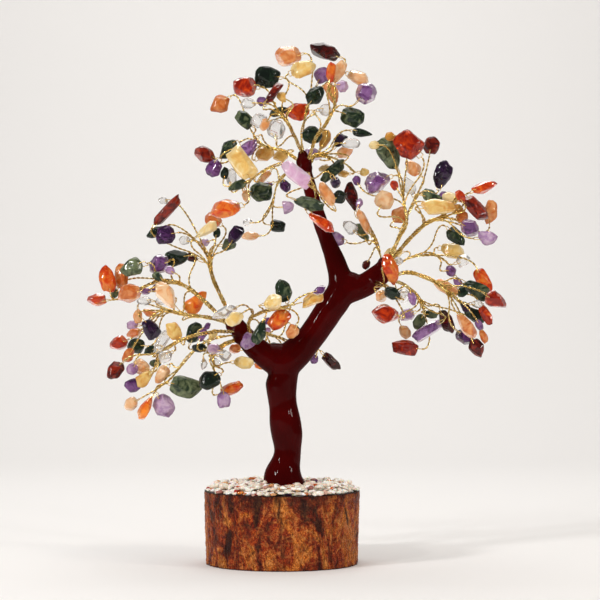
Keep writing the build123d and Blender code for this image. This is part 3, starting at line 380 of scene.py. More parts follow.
def rough_bark():
    """Varnished bark: red-brown plates, curly tan veins that stand out, dark gaps, black stains, dark furrows
    and rims, and painted shade towards its top.
    """
    material, tree, shader, place = new_material("rough red bark", {
        "Roughness": 0.36, "IOR": 1.45, "Specular IOR Level": 0.18})
    upright = add_node(tree, "ShaderNodeMapping", inputs={
        "Vector": place, "Scale": (1, 1, 0.45)}).outputs[0]
    patch = add_node(tree, "ShaderNodeTexNoise", inputs={
        "Vector": upright, "Scale": per(13), "Detail": 4.0, "Roughness": 0.62,
        "Distortion": 1.4}).outputs["Fac"]
    body = add_node(tree, "ShaderNodeValToRGB", inputs={"Fac": patch}, stops=[
        (0.38, "#3c0d05"), (0.45, "#8c2a0b"), (0.53, tuple(colours().bark)),
        (0.6, "#f5993c")]).outputs["Color"]
    worm = add_node(tree, "ShaderNodeTexNoise", inputs={
        "Vector": place, "Scale": per(2.6), "Detail": 1.5, "Distortion": 3.0}).outputs["Fac"]
    off_line = add_node(tree, "ShaderNodeMath", {"operation": "SUBTRACT"}, {0: worm, 1: 0.5}).outputs[0]
    apart = add_node(tree, "ShaderNodeMath", {"operation": "ABSOLUTE"}, {0: off_line}).outputs[0]
    gap = add_node(tree, "ShaderNodeValToRGB", inputs={"Fac": apart}, stops=[
        (0.02, "#ffffff"), (0.07, "#e6cbb8"), (0.14, "#7a5040")]).outputs["Color"]
    fibrous = add_node(tree, "ShaderNodeMix", {"data_type": "RGBA", "blend_type": "MULTIPLY"}, {
        0: 0.85, 6: body, 7: gap}).outputs[2]
    curl = add_node(tree, "ShaderNodeAttribute", {"attribute_name": "curl"}).outputs["Fac"]
    fine = add_node(tree, "ShaderNodeMapRange", inputs={
        "Value": apart, "From Min": 0.0, "From Max": 0.035, "To Min": 0.6, "To Max": 0.0}).outputs[0]
    pale = add_node(tree, "ShaderNodeMapRange", inputs={
        "Value": patch, "From Min": 0.42, "From Max": 0.58, "To Min": 0.15}).outputs[0]
    line = add_node(tree, "ShaderNodeMath", {"operation": "MULTIPLY_ADD", "use_clamp": True}, {
        0: curl, 1: 0.6, 2: fine}).outputs[0]
    vein = add_node(tree, "ShaderNodeMath", {"operation": "MULTIPLY"}, {0: line, 1: pale}).outputs[0]
    veined = add_node(tree, "ShaderNodeMix", {"data_type": "RGBA"}, {
        0: vein, 6: fibrous, 7: rgba("#f6ae62")}).outputs[2]
    grain = add_node(tree, "ShaderNodeTexNoise", inputs={
        "Vector": upright, "Scale": per(0.8), "Detail": 4.0, "Roughness": 0.75,
        "Distortion": 0.5}).outputs["Fac"]
    speck = add_node(tree, "ShaderNodeValToRGB", inputs={"Fac": grain}, stops=[
        (0.36, "#6a3a2a"), (0.5, "#e0c8ba"), (0.6, "#ffffff")]).outputs["Color"]
    mottled = add_node(tree, "ShaderNodeMix", {"data_type": "RGBA", "blend_type": "MULTIPLY"}, {
        0: 0.8, 6: veined, 7: speck}).outputs[2]
    stain = add_node(tree, "ShaderNodeTexNoise", inputs={
        "Vector": upright, "Scale": per(8), "Detail": 4.0, "Distortion": 0.9}).outputs["Fac"]
    stain_share = add_node(tree, "ShaderNodeMapRange", inputs={
        "Value": stain, "From Min": 0.40, "From Max": 0.31, "To Max": 0.85}).outputs[0]
    stained = add_node(tree, "ShaderNodeMix", {"data_type": "RGBA"}, {
        0: stain_share, 6: mottled, 7: rgba("#160806")}).outputs[2]
    # The furrow attribute holds the furrows' dark colour, the dark top and bottom rims and the painted shade
    # towards the top
    furrow = add_node(tree, "ShaderNodeAttribute", {"attribute_name": "furrow"}).outputs["Fac"]
    furrowed_and_shaded = add_node(tree, "ShaderNodeMix", {"data_type": "RGBA"}, {
        0: furrow, 6: stained, 7: rgba("#2c0e06")}).outputs[2]
    height = add_node(tree, "ShaderNodeMath", {"operation": "MULTIPLY_ADD"}, {
        0: vein, 1: 0.5, 2: grain}).outputs[0]
    bump = add_node(tree, "ShaderNodeBump", inputs={
        "Height": height, "Strength": 0.9, "Distance": 0.8 * MM}).outputs["Normal"]
    tree.links.new(furrowed_and_shaded, shader.inputs["Base Color"])
    tree.links.new(bump, shader.inputs["Normal"])
    return material


def sawn_wood():
    """Sawn log: yearly rings across the grain, dry and unpolished."""
    material, tree, shader, place = new_material("sawn softwood", {"Roughness": 0.75, "IOR": 1.45})
    rings = add_node(tree, "ShaderNodeTexWave", {"wave_type": "RINGS", "rings_direction": "Z"}, {
        "Vector": place, "Scale": per(2.4) / math.tau, "Distortion": 1.5, "Detail": 2.0}).outputs["Fac"]
    body = add_node(tree, "ShaderNodeValToRGB", inputs={"Fac": rings}, stops=[
        (0.2, "#8a5a33"), (0.8, "#c79a68")])
    tree.links.new(body.outputs["Color"], shader.inputs["Base Color"])
    return material


def clear_glue():
    """Dried glue with quartz dust in it: pale, uneven and a little glossy."""
    material, tree, shader, place = new_material("dried clear glue", {"Roughness": 0.3, "IOR": 1.48})
    dust = add_node(tree, "ShaderNodeTexNoise", inputs={
        "Vector": place, "Scale": per(1.5), "Detail": 4.0}).outputs["Fac"]
    body = add_node(tree, "ShaderNodeValToRGB", inputs={"Fac": dust}, stops=[
        (0.35, "#d8c8b2"), (0.55, "#f0e8da"), (0.7, "#fbf7ef")])
    tree.links.new(body.outputs["Color"], shader.inputs["Base Color"])
    return material


def studio_paper():
    """Seamless backdrop paper: even, matt and nearly white."""
    material, _, shader, _ = new_material("seamless paper", {"Roughness": 0.9, "IOR": 1.3})
    shader.inputs["Base Color"].default_value = rgba(colours().floor)
    return material


def as_piece(name, shape, material, body, slot, *nodes):
    """Make a shaped bmesh an object that rides on a body and stands for CAD nodes."""
    mesh = bpy.data.meshes.new(name)
    shape.to_mesh(mesh)
    shape.free()
    for face in mesh.polygons:
        face.use_smooth = True
    mesh.materials.append(material)
    piece = bpy.data.objects.new(name, mesh)
    bpy.context.scene.collection.objects.link(piece)
    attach(piece, body)
    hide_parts(*nodes)


def finish_node(node, material):
    """Give a CAD node that stays in view its material."""
    mesh = frame["nodes"][node].data
    mesh.materials.clear()
    mesh.materials.append(material)


def merged_copy(node):
    """Copy of a CAD node's mesh as a bmesh, with its loose triangles joined."""
    shape = bmesh.new()
    shape.from_mesh(frame["nodes"][node].data)
    bmesh.ops.remove_doubles(shape, verts=shape.verts, dist=0.001 * MM)
    shape.verts.ensure_lookup_table()
    return shape


def solids_of(shape):
    """Groups of joined vertices, in the order in which the solids were written."""
    seen = set()
    groups = []
    for start in shape.verts:
        if start in seen:
            continue
        seen.add(start)
        group, edge = [], [start]
        while edge:
            vert = edge.pop()
            group.append(vert)
            for link in vert.link_edges:
                other = link.other_vert(vert)
                if other not in seen:
                    seen.add(other)
                    edge.append(other)
        groups.append(group)
    return groups


def hull_planes(points):
    """Normals and distances of the faces of a hull around points given from its middle."""
    hull = bmesh.new()
    for point in points:
        hull.verts.new(point)
    bmesh.ops.convex_hull(hull, input=hull.verts)
    hull.normal_update()
    planes = [(face.normal.copy(), face.normal.dot(face.verts[0].co)) for face in hull.faces]
    hull.free()
    return [(normal, reach) for normal, reach in planes if reach > 1e-7]


def worn_chip(shape, points, chance, roundness, tone_layer, tone, detail):
    """Add a chip whose flats follow the hull of points and whose edges are worn round."""
    cloud = numpy.array(points)
    spread = cloud - cloud.mean(axis=0)
    _, axes = numpy.linalg.eigh(spread.T @ spread)
    along = spread @ axes
    middle = cloud.mean(axis=0) + axes @ ((along.max(axis=0) + along.min(axis=0)) / 2)
    half = (along.max(axis=0) - along.min(axis=0)) / 2
    planes = hull_planes([Vector(point - middle) for point in cloud])
    normals = numpy.array([normal for normal, _ in planes]) @ axes * half
    ground = sizes().chip_flats
    reaches = numpy.array([reach * chance.uniform(1 - ground, 1 + ground) for _, reach in planes])
    ball = bmesh.ops.create_icosphere(shape, subdivisions=detail, radius=1.0)["verts"]
    ways = numpy.array([vert.co for vert in ball])
    pressed = numpy.clip(ways @ normals.T / reaches, 0, None)
    reach = (pressed ** roundness).sum(axis=1) ** (-1 / roundness)
    drift = Vector(chance.uniform(-50, 50) for _ in range(3))
    dent = sizes().chip_dent
    for index, vert in enumerate(ball):
        swells = [noise.noise(vert.co * wave + drift) * dent * share for wave, share in DENT_WAVES]
        reach[index] *= 1 + sum(swells)
    placed = ways * reach[:, None]
    placed /= numpy.abs(placed).max(axis=0)
    for vert, spot in zip(ball, placed * half @ axes.T + middle):
        vert.co = spot
        vert[tone_layer] = tone


def chip_points(group):
    """Places of a solid's vertices as plain tuples."""
    return [tuple(vert.co) for vert in group]


def chip_tone(kind, chance):
    """Tone of one whole chip: the ramp's middle, moved lighter or darker."""
    finish = CHIP_FINISHES[kind]
    return 0.5 * (1 - finish["contrast"]) + chance.uniform(-1, 1) * finish["spread"]


def flat_caps(group):
    """Middles, outward ways and rims of the flat round ends of a bar."""
    caps = []
    seen = set()
    for vert in group:
        for face in vert.link_faces:
            if face in seen:
                continue
            seen.add(face)
            flat, edge = [], [face]
            while edge:
                part = edge.pop()
                flat.append(part)
                for link in part.edges:
                    for other in link.link_faces:
                        if other not in seen and other.normal.dot(face.normal) > FLAT:
                            seen.add(other)
                            edge.append(other)
            rim = {corner for part in flat for corner in part.verts}
            middle = sum((corner.co for corner in rim), Vector()) / len(rim)
            reaches = [(corner.co - middle).length for corner in rim]
            if len(flat) >= 4 and min(reaches) > ROUND * max(reaches):
                caps.append((middle, face.normal.copy(), rim))
    return caps


def meeting_point(start, leave, end, arrive):
    """Point where two lines come nearest each other, or halfway where they run alike."""
    across = leave.cross(arrive)
    if across.length < ALIKE:
        return start.lerp(end, 0.5)
    between = end - start
    along = between.cross(arrive).dot(across) / across.length_squared
    back = between.cross(leave).dot(across) / across.length_squared
    return (start + leave * along + end + arrive * back) / 2


def bend_line(start, corner, end, count):
    """Points of a smooth bend from a start to an end, drawn towards a corner."""
    shares = [index / count for index in range(count + 1)]
    return [start.lerp(corner, share).lerp(corner.lerp(end, share), share) for share in shares]


def stem_line(group):
    """Smooth line of a stem, read from its two flat ends."""
    (start, out, _), (end, tip_out, _) = flat_caps(group)
    corner = meeting_point(start, -out, end, -tip_out)
    return bend_line(start, corner, end, max(4, round((end - start).length / WIRE_STEP)))


def bunch_line(group, root):
    """Smooth line of a bunch, from its root to its end, read ring by ring from its flat end."""
    caps = sorted(flat_caps(group), key=lambda cap: (cap[0] - root).length)
    ring = caps[-1][2]
    seen = set(ring)
    points = [caps[-1][0]]
    while ring:
        ring = {link.other_vert(vert) for vert in ring for link in vert.link_edges} - seen
        seen |= ring
        middle = sum((vert.co for vert in ring), Vector()) / max(len(ring), 1)
        if len(ring) < 4 or (middle - root).length < ROOT_GAP:
            break
        points.append(middle)
    points.append(root)
    points.reverse()
    return even_line(points, WIRE_STEP)


def even_line(points, step):
    """Points at even steps along a line."""
    runs = [(after - before).length for before, after in zip(points, points[1:])]
    total = sum(runs)
    count = max(4, round(total / step))
    line = []
    index, walked = 0, 0.0
    for number in range(count + 1):
        place = total * number / count
        while index < len(runs) - 1 and walked + runs[index] < place:
            walked += runs[index]
            index += 1
        line.append(points[index].lerp(points[index + 1], (place - walked) / max(runs[index], 1e-9)))
    return line


def frames_along(line):
    """Two ways square to a line at each of its points, carried along without turning."""
    ahead = (line[1] - line[0]).normalized()
    side = ahead.orthogonal().normalized()
    frames = []
    for before, after in zip([line[0]] + line[:-1], line[1:] + [line[-1]]):
        ahead = (after - before).normalized()
        side = (side - ahead * side.dot(ahead)).normalized()
        frames.append((side, ahead.cross(side)))
    return frames


def wound_line(line, lay, pitch, phase):
    """Line that winds round another at a distance, with a turn in every pitch."""
    walked = 0.0
    wound = []
    for index, (side, other) in enumerate(frames_along(line)):
        if index:
            walked += (line[index] - line[index - 1]).length
        angle = phase + math.tau * walked / pitch
        wound.append(line[index] + (side * math.cos(angle) + other * math.sin(angle)) * lay)
    return wound


def peeled_line(lane, stem, peel):
    """Where a wire leaves its lane in a bunch, and its line from there to its chip."""
    if nearest(lane, stem[-1])[1] < nearest(lane, stem[0])[1]:
        stem = stem[::-1]
    near, _ = nearest(lane, stem[0])
    leave = max(1, near - round(peel / WIRE_STEP))
    join = min(len(stem) - 1, len(stem) // 3, round(peel / WIRE_STEP))
    bend = bend_line(lane[leave], lane[near], stem[join], BEND_STEPS)
    return leave, even_line(bend + stem[join + 1:], WIRE_STEP)


def nearest(line, place):
    """Number and distance of the point of a line that lies nearest a place."""
    away = [(index, (point - place).length) for index, point in enumerate(line)]
    return min(away, key=lambda pair: pair[1])


def add_twisted_pair(curve, line, middles):
    """Add two strands twisted round each other along a line, and note the line's point for each ring."""
    for phase in (0, math.pi):
        strand = wound_line(line, sizes().strand * NEST, sizes().twist, phase)
        middles.extend(line)
        spline = curve.splines.new("POLY")
        spline.points.add(len(strand) - 1)
        for point, place in zip(spline.points, strand):
            point.co = (*place, 1.0)


class GEMTREE_OT_base(bpy.types.Operator):
    """Make the bark round the log slice, with furrows and torn edges, and finish the wood."""
    bl_idname = "gemtree.base"
    bl_label = "Log Slice"

    COLUMNS = 440
    ROWS = 84
    FLARE = 1.0 * MM
    RIM_REACH = 2 * MM

    # Widths in millimetres of the plates, furrows, fibres, curls and the waves that bend the curls,
    # and how plates and fibres are drawn out upright
    PLATE_SIZE, FURROW_SIZE, FIBRE_SIZE, CURL_SIZE, WAVE_SIZE = 6.0, 4.0, 1.3, 3.0, 4.5
    PLATE_RISE, FIBRE_RISE = 0.3, 0.5

    # Where a ridge of the pattern starts to be a furrow, how far the waves bend the curls, and the
    # share of the pattern that is curl
    FURROW_START, CURL_WARP, CURL_SHARE = 0.78, 4.0, 0.2

    # Shares of the relief, and of the furrows' dark colour with the height of the dark rim and of the painted
    # shade that darkens the bark towards its top
    PLATE, FURROW, FIBRE, CURL = 0.3, 0.45, 0.2, 0.3
    FURROW_TINT, SHADE_TINT = 0.55, 0.4
    RIM, SHADE = 0.9 * MM, 8 * MM

    # Torn upper edge: how near the top it lies, its waves in millimetres, its depth and its drop
    TORN_REACH, TORN_SIZE, TORN, TORN_DROP = 0.1 * MM, 3.0, 0.5 * MM, 0.3 * MM

    def execute(self, context):
        low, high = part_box("bark")
        inner = (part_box("log_block")[1][0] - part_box("log_block")[0][0]) / 2
        height = high[2] - low[2]
        top_radius = (high[0] - low[0]) / 2
        shape = bmesh.new()
        bmesh.ops.create_cone(
            shape, cap_ends=False, segments=self.COLUMNS, radius1=top_radius - self.FLARE, radius2=top_radius,
            depth=height, matrix=Matrix.Translation((0, 0, low[2] + height / 2)))
        upright = [edge for edge in shape.edges if abs(edge.verts[0].co.z - edge.verts[1].co.z) > height / 2]
        bmesh.ops.subdivide_edges(shape, edges=upright, cuts=self.ROWS - 1)
        furrows = shape.verts.layers.float.new("furrow")
        curls = shape.verts.layers.float.new("curl")
        for vert in shape.verts:
            self.weather(vert, furrows, curls, low[2], high[2])
        for level in (high[2], low[2]):
            rim = [
                edge for edge in shape.edges
                if edge.is_boundary and abs(edge.verts[0].co.z - level) < self.RIM_REACH]
            made = bmesh.ops.extrude_edge_only(shape, edges=rim)["geom"]
            for vert in (part for part in made if isinstance(part, bmesh.types.BMVert)):
                flat = Vector((vert.co.x, vert.co.y, 0)).normalized() * inner
                vert.co = (flat.x, flat.y, level)
        inner_rims = [edge for edge in shape.edges if edge.is_boundary]
        bmesh.ops.bridge_loops(shape, edges=inner_rims)
        bmesh.ops.recalc_face_normals(shape, faces=shape.faces)
        as_piece("bark_ring", shape, rough_bark(), TREE, "bark", "bark")
        finish_node("log_block", sawn_wood())
        return {"FINISHED"}

    def weather(self, vert, furrows, curls, low, high):
        """Move one point of the bark in or out: upright plates, furrows between them, curls and fibres."""
        place = vert.co / MM
        tall = Vector((place.x, place.y, place.z * self.PLATE_RISE))
        plate = noise.noise(tall / self.PLATE_SIZE)
        ridge = 1 - abs(noise.noise(tall / self.FURROW_SIZE + Vector((9, 4, 2)))) * 2
        furrow = max(0.0, ridge - self.FURROW_START) / (1 - self.FURROW_START)
        fibre = noise.noise(Vector((place.x, place.y, place.z * self.FIBRE_RISE)) / self.FIBRE_SIZE)
        shifts = [Vector((shift, 3 * shift, 7)) for shift in (11, 23, 37)]
        warp = Vector([noise.noise(place / self.WAVE_SIZE + shift) for shift in shifts])
        bent = place + warp * self.CURL_WARP
        curl = max(0.0, 1 - abs(noise.noise(bent / self.CURL_SIZE)) / self.CURL_SHARE)
        out = sizes().bark_relief * (
            self.PLATE * plate - self.FURROW * furrow + self.FIBRE * fibre + self.CURL * curl)
        flat = Vector((vert.co.x, vert.co.y, 0)).normalized()
        vert.co += flat * out
        edge = max(0.0, 1 - min(high - vert.co.z, vert.co.z - low) / self.RIM)
        # Painted shade: a dark band that grows towards the bark's top, stored together with the furrows' dark
        # colour
        shade = max(0.0, 1 - (high - vert.co.z) / self.SHADE) * self.SHADE_TINT
        vert[furrows] = min(1.0, furrow * self.FURROW_TINT + edge + shade)
        vert[curls] = curl
        if high - vert.co.z < self.TORN_REACH:
            vert.co.z += self.TORN * noise.noise(place / self.TORN_SIZE) - self.TORN_DROP


class GEMTREE_OT_gravel(bpy.types.Operator):
    """Make the gravel chips worn and uneven, and fill in small ones between them and on the rim."""
    bl_idname = "gemtree.gravel"
    bl_label = "Gravel"

    ROUNDNESS = 9.0
    DETAIL, FILL_DETAIL = 2, 1

    # Small chips: sizes, number of corners, and how wide and how tall one is for its size
    LEAST, MOST = 1.2 * MM, 2.7 * MM
    CORNERS = 12
    WIDE, TALL = (0.8, 1.4), (0.4, 0.65)

    # Where they lie: clear of the foot, in from the bark, past the bed's edge on the rim, raised by a
    # share of their size, and heaped on the bed
    FOOT, INSET, BED_EDGE = 12.5 * MM, 0.9 * MM, 1 * MM
    RAISED, HEAP = (0.1, 0.5), 1.8 * MM

    def execute(self, context):
        shapes = {kind: bmesh.new() for kind in GRAVEL_SHARES}
        layers = {kind: shape.verts.layers.float.new("tone") for kind, shape in shapes.items()}
        chance = random.Random("gravel")
        for kind, shape in shapes.items():
            source = merged_copy(f"{kind}_gravel")
            for group in solids_of(source):
                self.add_chip(shapes, layers, kind, chip_points(group), chance, self.DETAIL)
            source.free()
        self.fill(shapes, layers, chance)
        for kind, shape in shapes.items():
            finish = tumbled_stone(GRAVEL_FINISHES.get(kind, kind))
            as_piece(f"{kind}_gravel_chips", shape, finish, TREE, CHIP_SLOTS[kind], f"{kind}_gravel")
        finish_node("glue_bed", clear_glue())
        return {"FINISHED"}

    def add_chip(self, shapes, layers, kind, points, chance, detail):
        """Add one worn gravel chip."""
        tone = chip_tone(GRAVEL_FINISHES.get(kind, kind), chance)
        worn_chip(shapes[kind], points, chance, self.ROUNDNESS, layers[kind], tone, detail)

    def fill(self, shapes, layers, chance):
        """Scatter small chips over the glue and the bark's rim, clear of the trunk's foot."""
        low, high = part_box("bark")
        outer = (high[0] - low[0]) / 2 - self.INSET
        bed_low, bed_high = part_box("glue_bed")
        bed_radius = (bed_high[0] - bed_low[0]) / 2
        for _ in range(sizes().gravel_fill):
            turn = chance.uniform(0, math.tau)
            reach = math.sqrt(chance.uniform(self.FOOT ** 2, outer ** 2))
            size = chance.uniform(self.LEAST, self.MOST)
            rest = bed_high[2] if reach < bed_radius - self.BED_EDGE else high[2]
            lift = chance.uniform(*self.RAISED) * size
            if reach < bed_radius:
                lift += chance.uniform(0, self.HEAP)
            middle = Vector((math.cos(turn) * reach, math.sin(turn) * reach, rest + lift))
            kind = chance.choices(list(GRAVEL_SHARES), weights=GRAVEL_SHARES.values())[0]
            stretch = [chance.uniform(*span) for span in (self.WIDE, self.WIDE, self.TALL)]
            points = []
            for _ in range(self.CORNERS):
                way = Vector([chance.gauss(0, 1) for _ in range(3)]).normalized() * size
                points.append(tuple(middle + Vector([w * s for w, s in zip(way, stretch)])))
            self.add_chip(shapes, layers, kind, points, chance, self.FILL_DETAIL)


class GEMTREE_OT_trunk(bpy.types.Operator):
    """Model the putty trunk as one smooth skin, with a collar where each sprig leaves it."""
    bl_idname = "gemtree.trunk"
    bl_label = "Trunk"

    COLLAR = 2.3 * MM

    # Middles and radii of the putty that fills the saddles of the lower and the upper fork
    WEBS = ((Vector((-2.6, 0, 107.2)) * MM, 6.8 * MM), (Vector((36.0, -1, 145.8)) * MM, 5.4 * MM))
    SMOOTH_PASSES = 8
    SWELL = 0.4 * MM
    WAVE_LENGTH, WAVE = 9 * MM, 0.45 * MM

    def execute(self, context):
        shape = merged_copy("trunk")
        shape.from_mesh(frame["nodes"]["wire_armature"].data)
        for joint in frame["joints"]:
            root = Matrix.Translation(joint["pos_m"])
            bmesh.ops.create_icosphere(shape, subdivisions=2, radius=self.COLLAR, matrix=root)
        for place, radius in self.WEBS:
            bmesh.ops.create_icosphere(shape, subdivisions=3, radius=radius, matrix=Matrix.Translation(place))
        together = bpy.data.meshes.new("putty")
        shape.to_mesh(together)
        shape.free()
        skin = self.remeshed(together)
        outer = bmesh.new()
        outer.from_mesh(skin)
        groups = sorted(solids_of(outer), key=len)
        bmesh.ops.delete(outer, geom=[vert for group in groups[:-1] for vert in group], context="VERTS")
        for _ in range(self.SMOOTH_PASSES):
            bmesh.ops.smooth_vert(
                outer, verts=outer.verts, factor=0.5, use_axis_x=True, use_axis_y=True, use_axis_z=True)
        outer.normal_update()
        for vert in outer.verts:
            vert.co += vert.normal * (self.SWELL + noise.noise(vert.co / self.WAVE_LENGTH) * self.WAVE)
        as_piece("putty_trunk", outer, lacquered_putty(), TREE, "lacquered_putty", "trunk")
        finish_node("wire_armature", gold_wire())
        return {"FINISHED"}

    def remeshed(self, mesh):
        """One closed skin round all that a mesh holds."""
        holder = bpy.data.objects.new("putty_holder", mesh)
        bpy.context.scene.collection.objects.link(holder)
        remesh = holder.modifiers.new("skin", "REMESH")
        remesh.mode = "VOXEL"
        remesh.voxel_size = sizes().putty_grid
        graph = bpy.context.evaluated_depsgraph_get()
        skin = bpy.data.meshes.new_from_object(holder.evaluated_get(graph))
        bpy.data.objects.remove(holder)
        return skin


class GEMTREE_OT_wires(bpy.types.Operator):
    """Twist the wires: pairs of strands for stems and bunches, and loops through the chips."""
    bl_idname = "gemtree.wires"
    bl_label = "Wires"

    STEMS_PER_LANE = 3.0
    PEEL = 8 * MM

    def execute(self, context):
        finish = gold_wire()
        roots = {joint["child"]: Vector(joint["pos_m"]) for joint in frame["joints"]}
        for sprig, root in roots.items():
            source = merged_copy(f"{sprig}_wires")
            source.normal_update()
            groups = solids_of(source)
            count = len(SPRIG_CHIPS[sprig].split())
            mesh = self.strands(sprig, groups[0], groups[1:1 + count], root)
            loops = {vert for group in groups[1 + count:] for vert in group}
            rest = [vert for vert in source.verts if vert not in loops]
            bmesh.ops.delete(source, geom=rest, context="VERTS")
            source.verts.layers.float.new("groove")
            source.from_mesh(mesh)
            bmesh.ops.holes_fill(source, edges=[edge for edge in source.edges if edge.is_boundary])
            as_piece(f"{sprig}_wire", source, finish, sprig, "gold_wire", f"{sprig}_wires")
        return {"FINISHED"}

    def strands(self, sprig, bunch, stems, root):
        """Mesh of a sprig's bunch and stems."""
        curve = bpy.data.curves.new(f"{sprig}_strands", "CURVE")
        curve.dimensions = "3D"
        curve.bevel_depth = sizes().strand / 2
        curve.bevel_resolution = 1
        middles = []
        line = bunch_line(bunch, root)
        lanes = max(2, round(len(stems) / self.STEMS_PER_LANE))
        lay = sizes().strand / math.sin(math.pi / lanes)
        for number in range(lanes):
            lane = wound_line(line, lay, sizes().bunch_twist, math.tau * number / lanes)
            shoots = [peeled_line(lane, stem_line(stem), self.PEEL) for stem in stems[number::lanes]]
            shoots.sort(key=lambda shoot: shoot[0])
            leave, last = shoots.pop()
            add_twisted_pair(curve, lane[:leave] + last, middles)
            for _, shoot in shoots:
                add_twisted_pair(curve, shoot, middles)
        holder = bpy.data.objects.new("strand_holder", curve)
        bpy.context.scene.collection.objects.link(holder)
        graph = bpy.context.evaluated_depsgraph_get()
        mesh = bpy.data.meshes.new_from_object(holder.evaluated_get(graph))
        bpy.data.objects.remove(holder)
        self.mark_grooves(mesh, middles)
        return mesh

    def mark_grooves(self, mesh, middles):
        """Store on each point of the strands how deep it lies in the groove of its twisted pair, which the
        wire's material darkens as painted shade.
        """
        places = numpy.empty(len(mesh.vertices) * 3)
        mesh.vertices.foreach_get("co", places)
        rings = places.reshape(len(middles), -1, 3)
        away = numpy.linalg.norm(rings - numpy.array(middles)[:, None], axis=2)
        depth = numpy.clip(1 - away.ravel() / sizes().strand, 0, 1)
        mesh.attributes.new("groove", "FLOAT", "POINT").data.foreach_set("value", depth)


class GEMTREE_OT_chips(bpy.types.Operator):
    """Tumble the chips of every sprig: worn edges, flats and dents, each kind in its own stone."""
    bl_idname = "gemtree.chips"
    bl_label = "Chips"

    DETAIL = 4
    WEAR = (0.75, 1.3)

    def execute(self, context):
        for sprig, words in SPRIG_CHIPS.items():
            kinds = words.split()
            source = merged_copy(f"{sprig}_stones")
            groups = solids_of(source)
            if len(groups) != len(kinds):
                raise RuntimeError(f"{sprig} has {len(groups)} chips and {len(kinds)} names")
            shapes = {kind: bmesh.new() for kind in kinds}
            layers = {kind: shape.verts.layers.float.new("tone") for kind, shape in shapes.items()}
            chance = random.Random(sprig)
            for group, kind in zip(groups, kinds):
                roundness = sizes().chip_hardness * chance.uniform(*self.WEAR)
                tone = chip_tone(kind, chance)
                worn_chip(
                    shapes[kind], chip_points(group), chance, roundness, layers[kind], tone, self.DETAIL)
            source.free()
            for kind, shape in shapes.items():
                as_piece(
                    f"{sprig}_{kind}", shape, tumbled_stone(kind), sprig, CHIP_SLOTS[kind], f"{sprig}_stones")
        return {"FINISHED"}


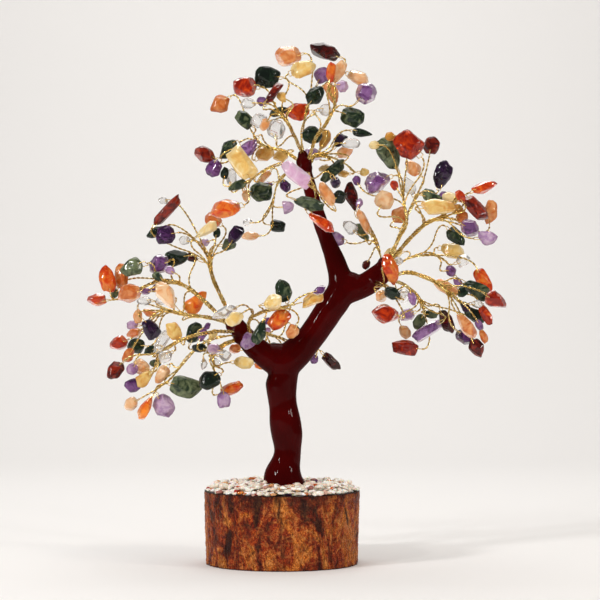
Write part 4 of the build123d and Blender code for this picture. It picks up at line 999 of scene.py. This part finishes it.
class GEMTREE_OT_stage(bpy.types.Operator):
    """Set up the pale floor, the studio lights and the camera."""
    bl_idname = "gemtree.stage"
    bl_label = "Stage"

    CAMERA_DISTANCE = 1.0
    CAMERA_HEIGHT = 0.115
    AIM = Vector((0.0094, 0.0, 0.1368))
    LENS, SENSOR = 115.0, 36.0
    FLOOR_FRONT, FLOOR_BACK, FLOOR_SIDE, WALL = -2.5, 1.6, 3.0, 3.0
    SWEEP, SWEEP_STEPS = 0.8, 24
    BACKDROP_AIM = Vector((0.0, 1.3, 0.0))
    SURROUNDINGS = 0.23

    # Name, place, aim, side length, watts and colour of each light
    LIGHTS = (
        ("key_left", (-0.95, -0.8, 0.6), AIM, 0.17, 8.4, "#ffffff"),
        ("sparkle_left", (-0.7, -0.95, 0.75), AIM, 0.045, 2.2, "#ffffff"),
        ("sparkle_right", (0.8, -0.9, 0.5), AIM, 0.045, 1.3, "#ffffff"),
        ("fill_right", (1.0, -0.6, 0.5), AIM, 0.17, 4.0, "#fff8f0"),
        ("overhead", (0.0, -0.1, 1.4), AIM, 0.8, 3.4, "#fffcf8"),
        ("backdrop_light", (0.0, 0.5, 1.2), BACKDROP_AIM, 0.8, 7.2, "#ffffff"),
    )

    def execute(self, context):
        self.backdrop()
        for row in self.LIGHTS:
            self.light(*row)
        self.world()
        self.camera(context)
        return {"FINISHED"}

    def backdrop(self):
        """Floor that sweeps up into a wall behind the tree."""
        shape = bmesh.new()
        middle = (self.FLOOR_BACK + self.FLOOR_FRONT) / 2
        reach = (self.FLOOR_BACK - self.FLOOR_FRONT) / 2
        spread = Matrix.Translation((0, middle, 0)) @ Matrix.Diagonal((self.FLOOR_SIDE, reach, 1, 1))
        bmesh.ops.create_grid(shape, x_segments=1, y_segments=1, size=1.0, matrix=spread)
        back = max(shape.edges, key=lambda edge: sum(vert.co.y for vert in edge.verts))
        made = bmesh.ops.extrude_edge_only(shape, edges=[back])["geom"]
        for vert in (part for part in made if isinstance(part, bmesh.types.BMVert)):
            vert.co.z = self.WALL
        fold = [edge for edge in shape.edges if len(edge.link_faces) == 2]
        bmesh.ops.bevel(
            shape, geom=fold, offset=self.SWEEP, offset_type="OFFSET", segments=self.SWEEP_STEPS,
            profile=0.5, affect="EDGES", material=-1)
        bmesh.ops.recalc_face_normals(shape, faces=shape.faces)
        mesh = bpy.data.meshes.new("backdrop")
        shape.to_mesh(mesh)
        shape.free()
        for face in mesh.polygons:
            face.use_smooth = True
        mesh.materials.append(studio_paper())
        sheet = bpy.data.objects.new("backdrop", mesh)
        bpy.context.scene.collection.objects.link(sheet)

    def light(self, name, place, aim, size, watts, colour):
        """Square light that faces a point."""
        lamp = bpy.data.lights.new(name, "AREA")
        lamp.size = size
        lamp.energy = watts
        lamp.color = linear(colour)
        holder = bpy.data.objects.new(name, lamp)
        holder.location = place
        holder.rotation_euler = (aim - Vector(place)).to_track_quat("-Z", "Y").to_euler()
        bpy.context.scene.collection.objects.link(holder)

    def world(self):
        """Even white surroundings."""
        world = bpy.data.worlds.new("studio")
        world.use_nodes = True
        shade = world.node_tree.nodes["Background"]
        shade.inputs["Color"].default_value = rgba("#fffaf5")
        shade.inputs["Strength"].default_value = self.SURROUNDINGS
        bpy.context.scene.world = world
        bpy.context.scene.view_settings.view_transform = "Standard"

    def camera(self, context):
        """Camera at the photograph's place, level with the trunk's middle."""
        lens = bpy.data.cameras.new("camera")
        lens.lens = self.LENS
        lens.sensor_width = self.SENSOR
        holder = bpy.data.objects.new("camera", lens)
        holder.location = (self.AIM.x, -self.CAMERA_DISTANCE, self.CAMERA_HEIGHT)
        holder.rotation_euler = (self.AIM - holder.location).to_track_quat("-Z", "Y").to_euler()
        bpy.context.scene.collection.objects.link(holder)
        context.scene.camera = holder


OPERATORS = (
    GEMTREE_OT_base, GEMTREE_OT_gravel, GEMTREE_OT_trunk,
    GEMTREE_OT_wires, GEMTREE_OT_chips, GEMTREE_OT_stage)


class GEMTREE_PT_panel(bpy.types.Panel):
    """Sidebar panel that lists the pieces and their settings."""
    bl_idname = "GEMTREE_PT_panel"
    bl_label = "Gemstone Tree"
    bl_space_type = "VIEW_3D"
    bl_region_type = "UI"
    bl_category = "Gemstone Tree"

    def draw(self, context):
        for group in (sizes(), colours()):
            for name in group.__annotations__:
                self.layout.prop(group, name)
        for operator in OPERATORS:
            self.layout.operator(operator.bl_idname)


CLASSES = (GemTreeSizes, GemTreeColours, *OPERATORS, GEMTREE_PT_panel)


def register():
    """Register the classes and hang the settings on the scene."""
    for part in CLASSES:
        bpy.utils.register_class(part)
    bpy.types.Scene.gem_tree_sizes = PointerProperty(type=GemTreeSizes)
    bpy.types.Scene.gem_tree_colours = PointerProperty(type=GemTreeColours)


def unregister():
    """Take the settings and the classes away again."""
    del bpy.types.Scene.gem_tree_colours
    del bpy.types.Scene.gem_tree_sizes
    for part in reversed(CLASSES):
        bpy.utils.unregister_class(part)


def main():
    """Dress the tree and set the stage."""
    register()
    bpy.ops.gemtree.base()
    bpy.ops.gemtree.gravel()
    bpy.ops.gemtree.trunk()
    bpy.ops.gemtree.wires()
    bpy.ops.gemtree.chips()
    bpy.ops.gemtree.stage()
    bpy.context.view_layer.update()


if __name__ == "__main__":
    main()
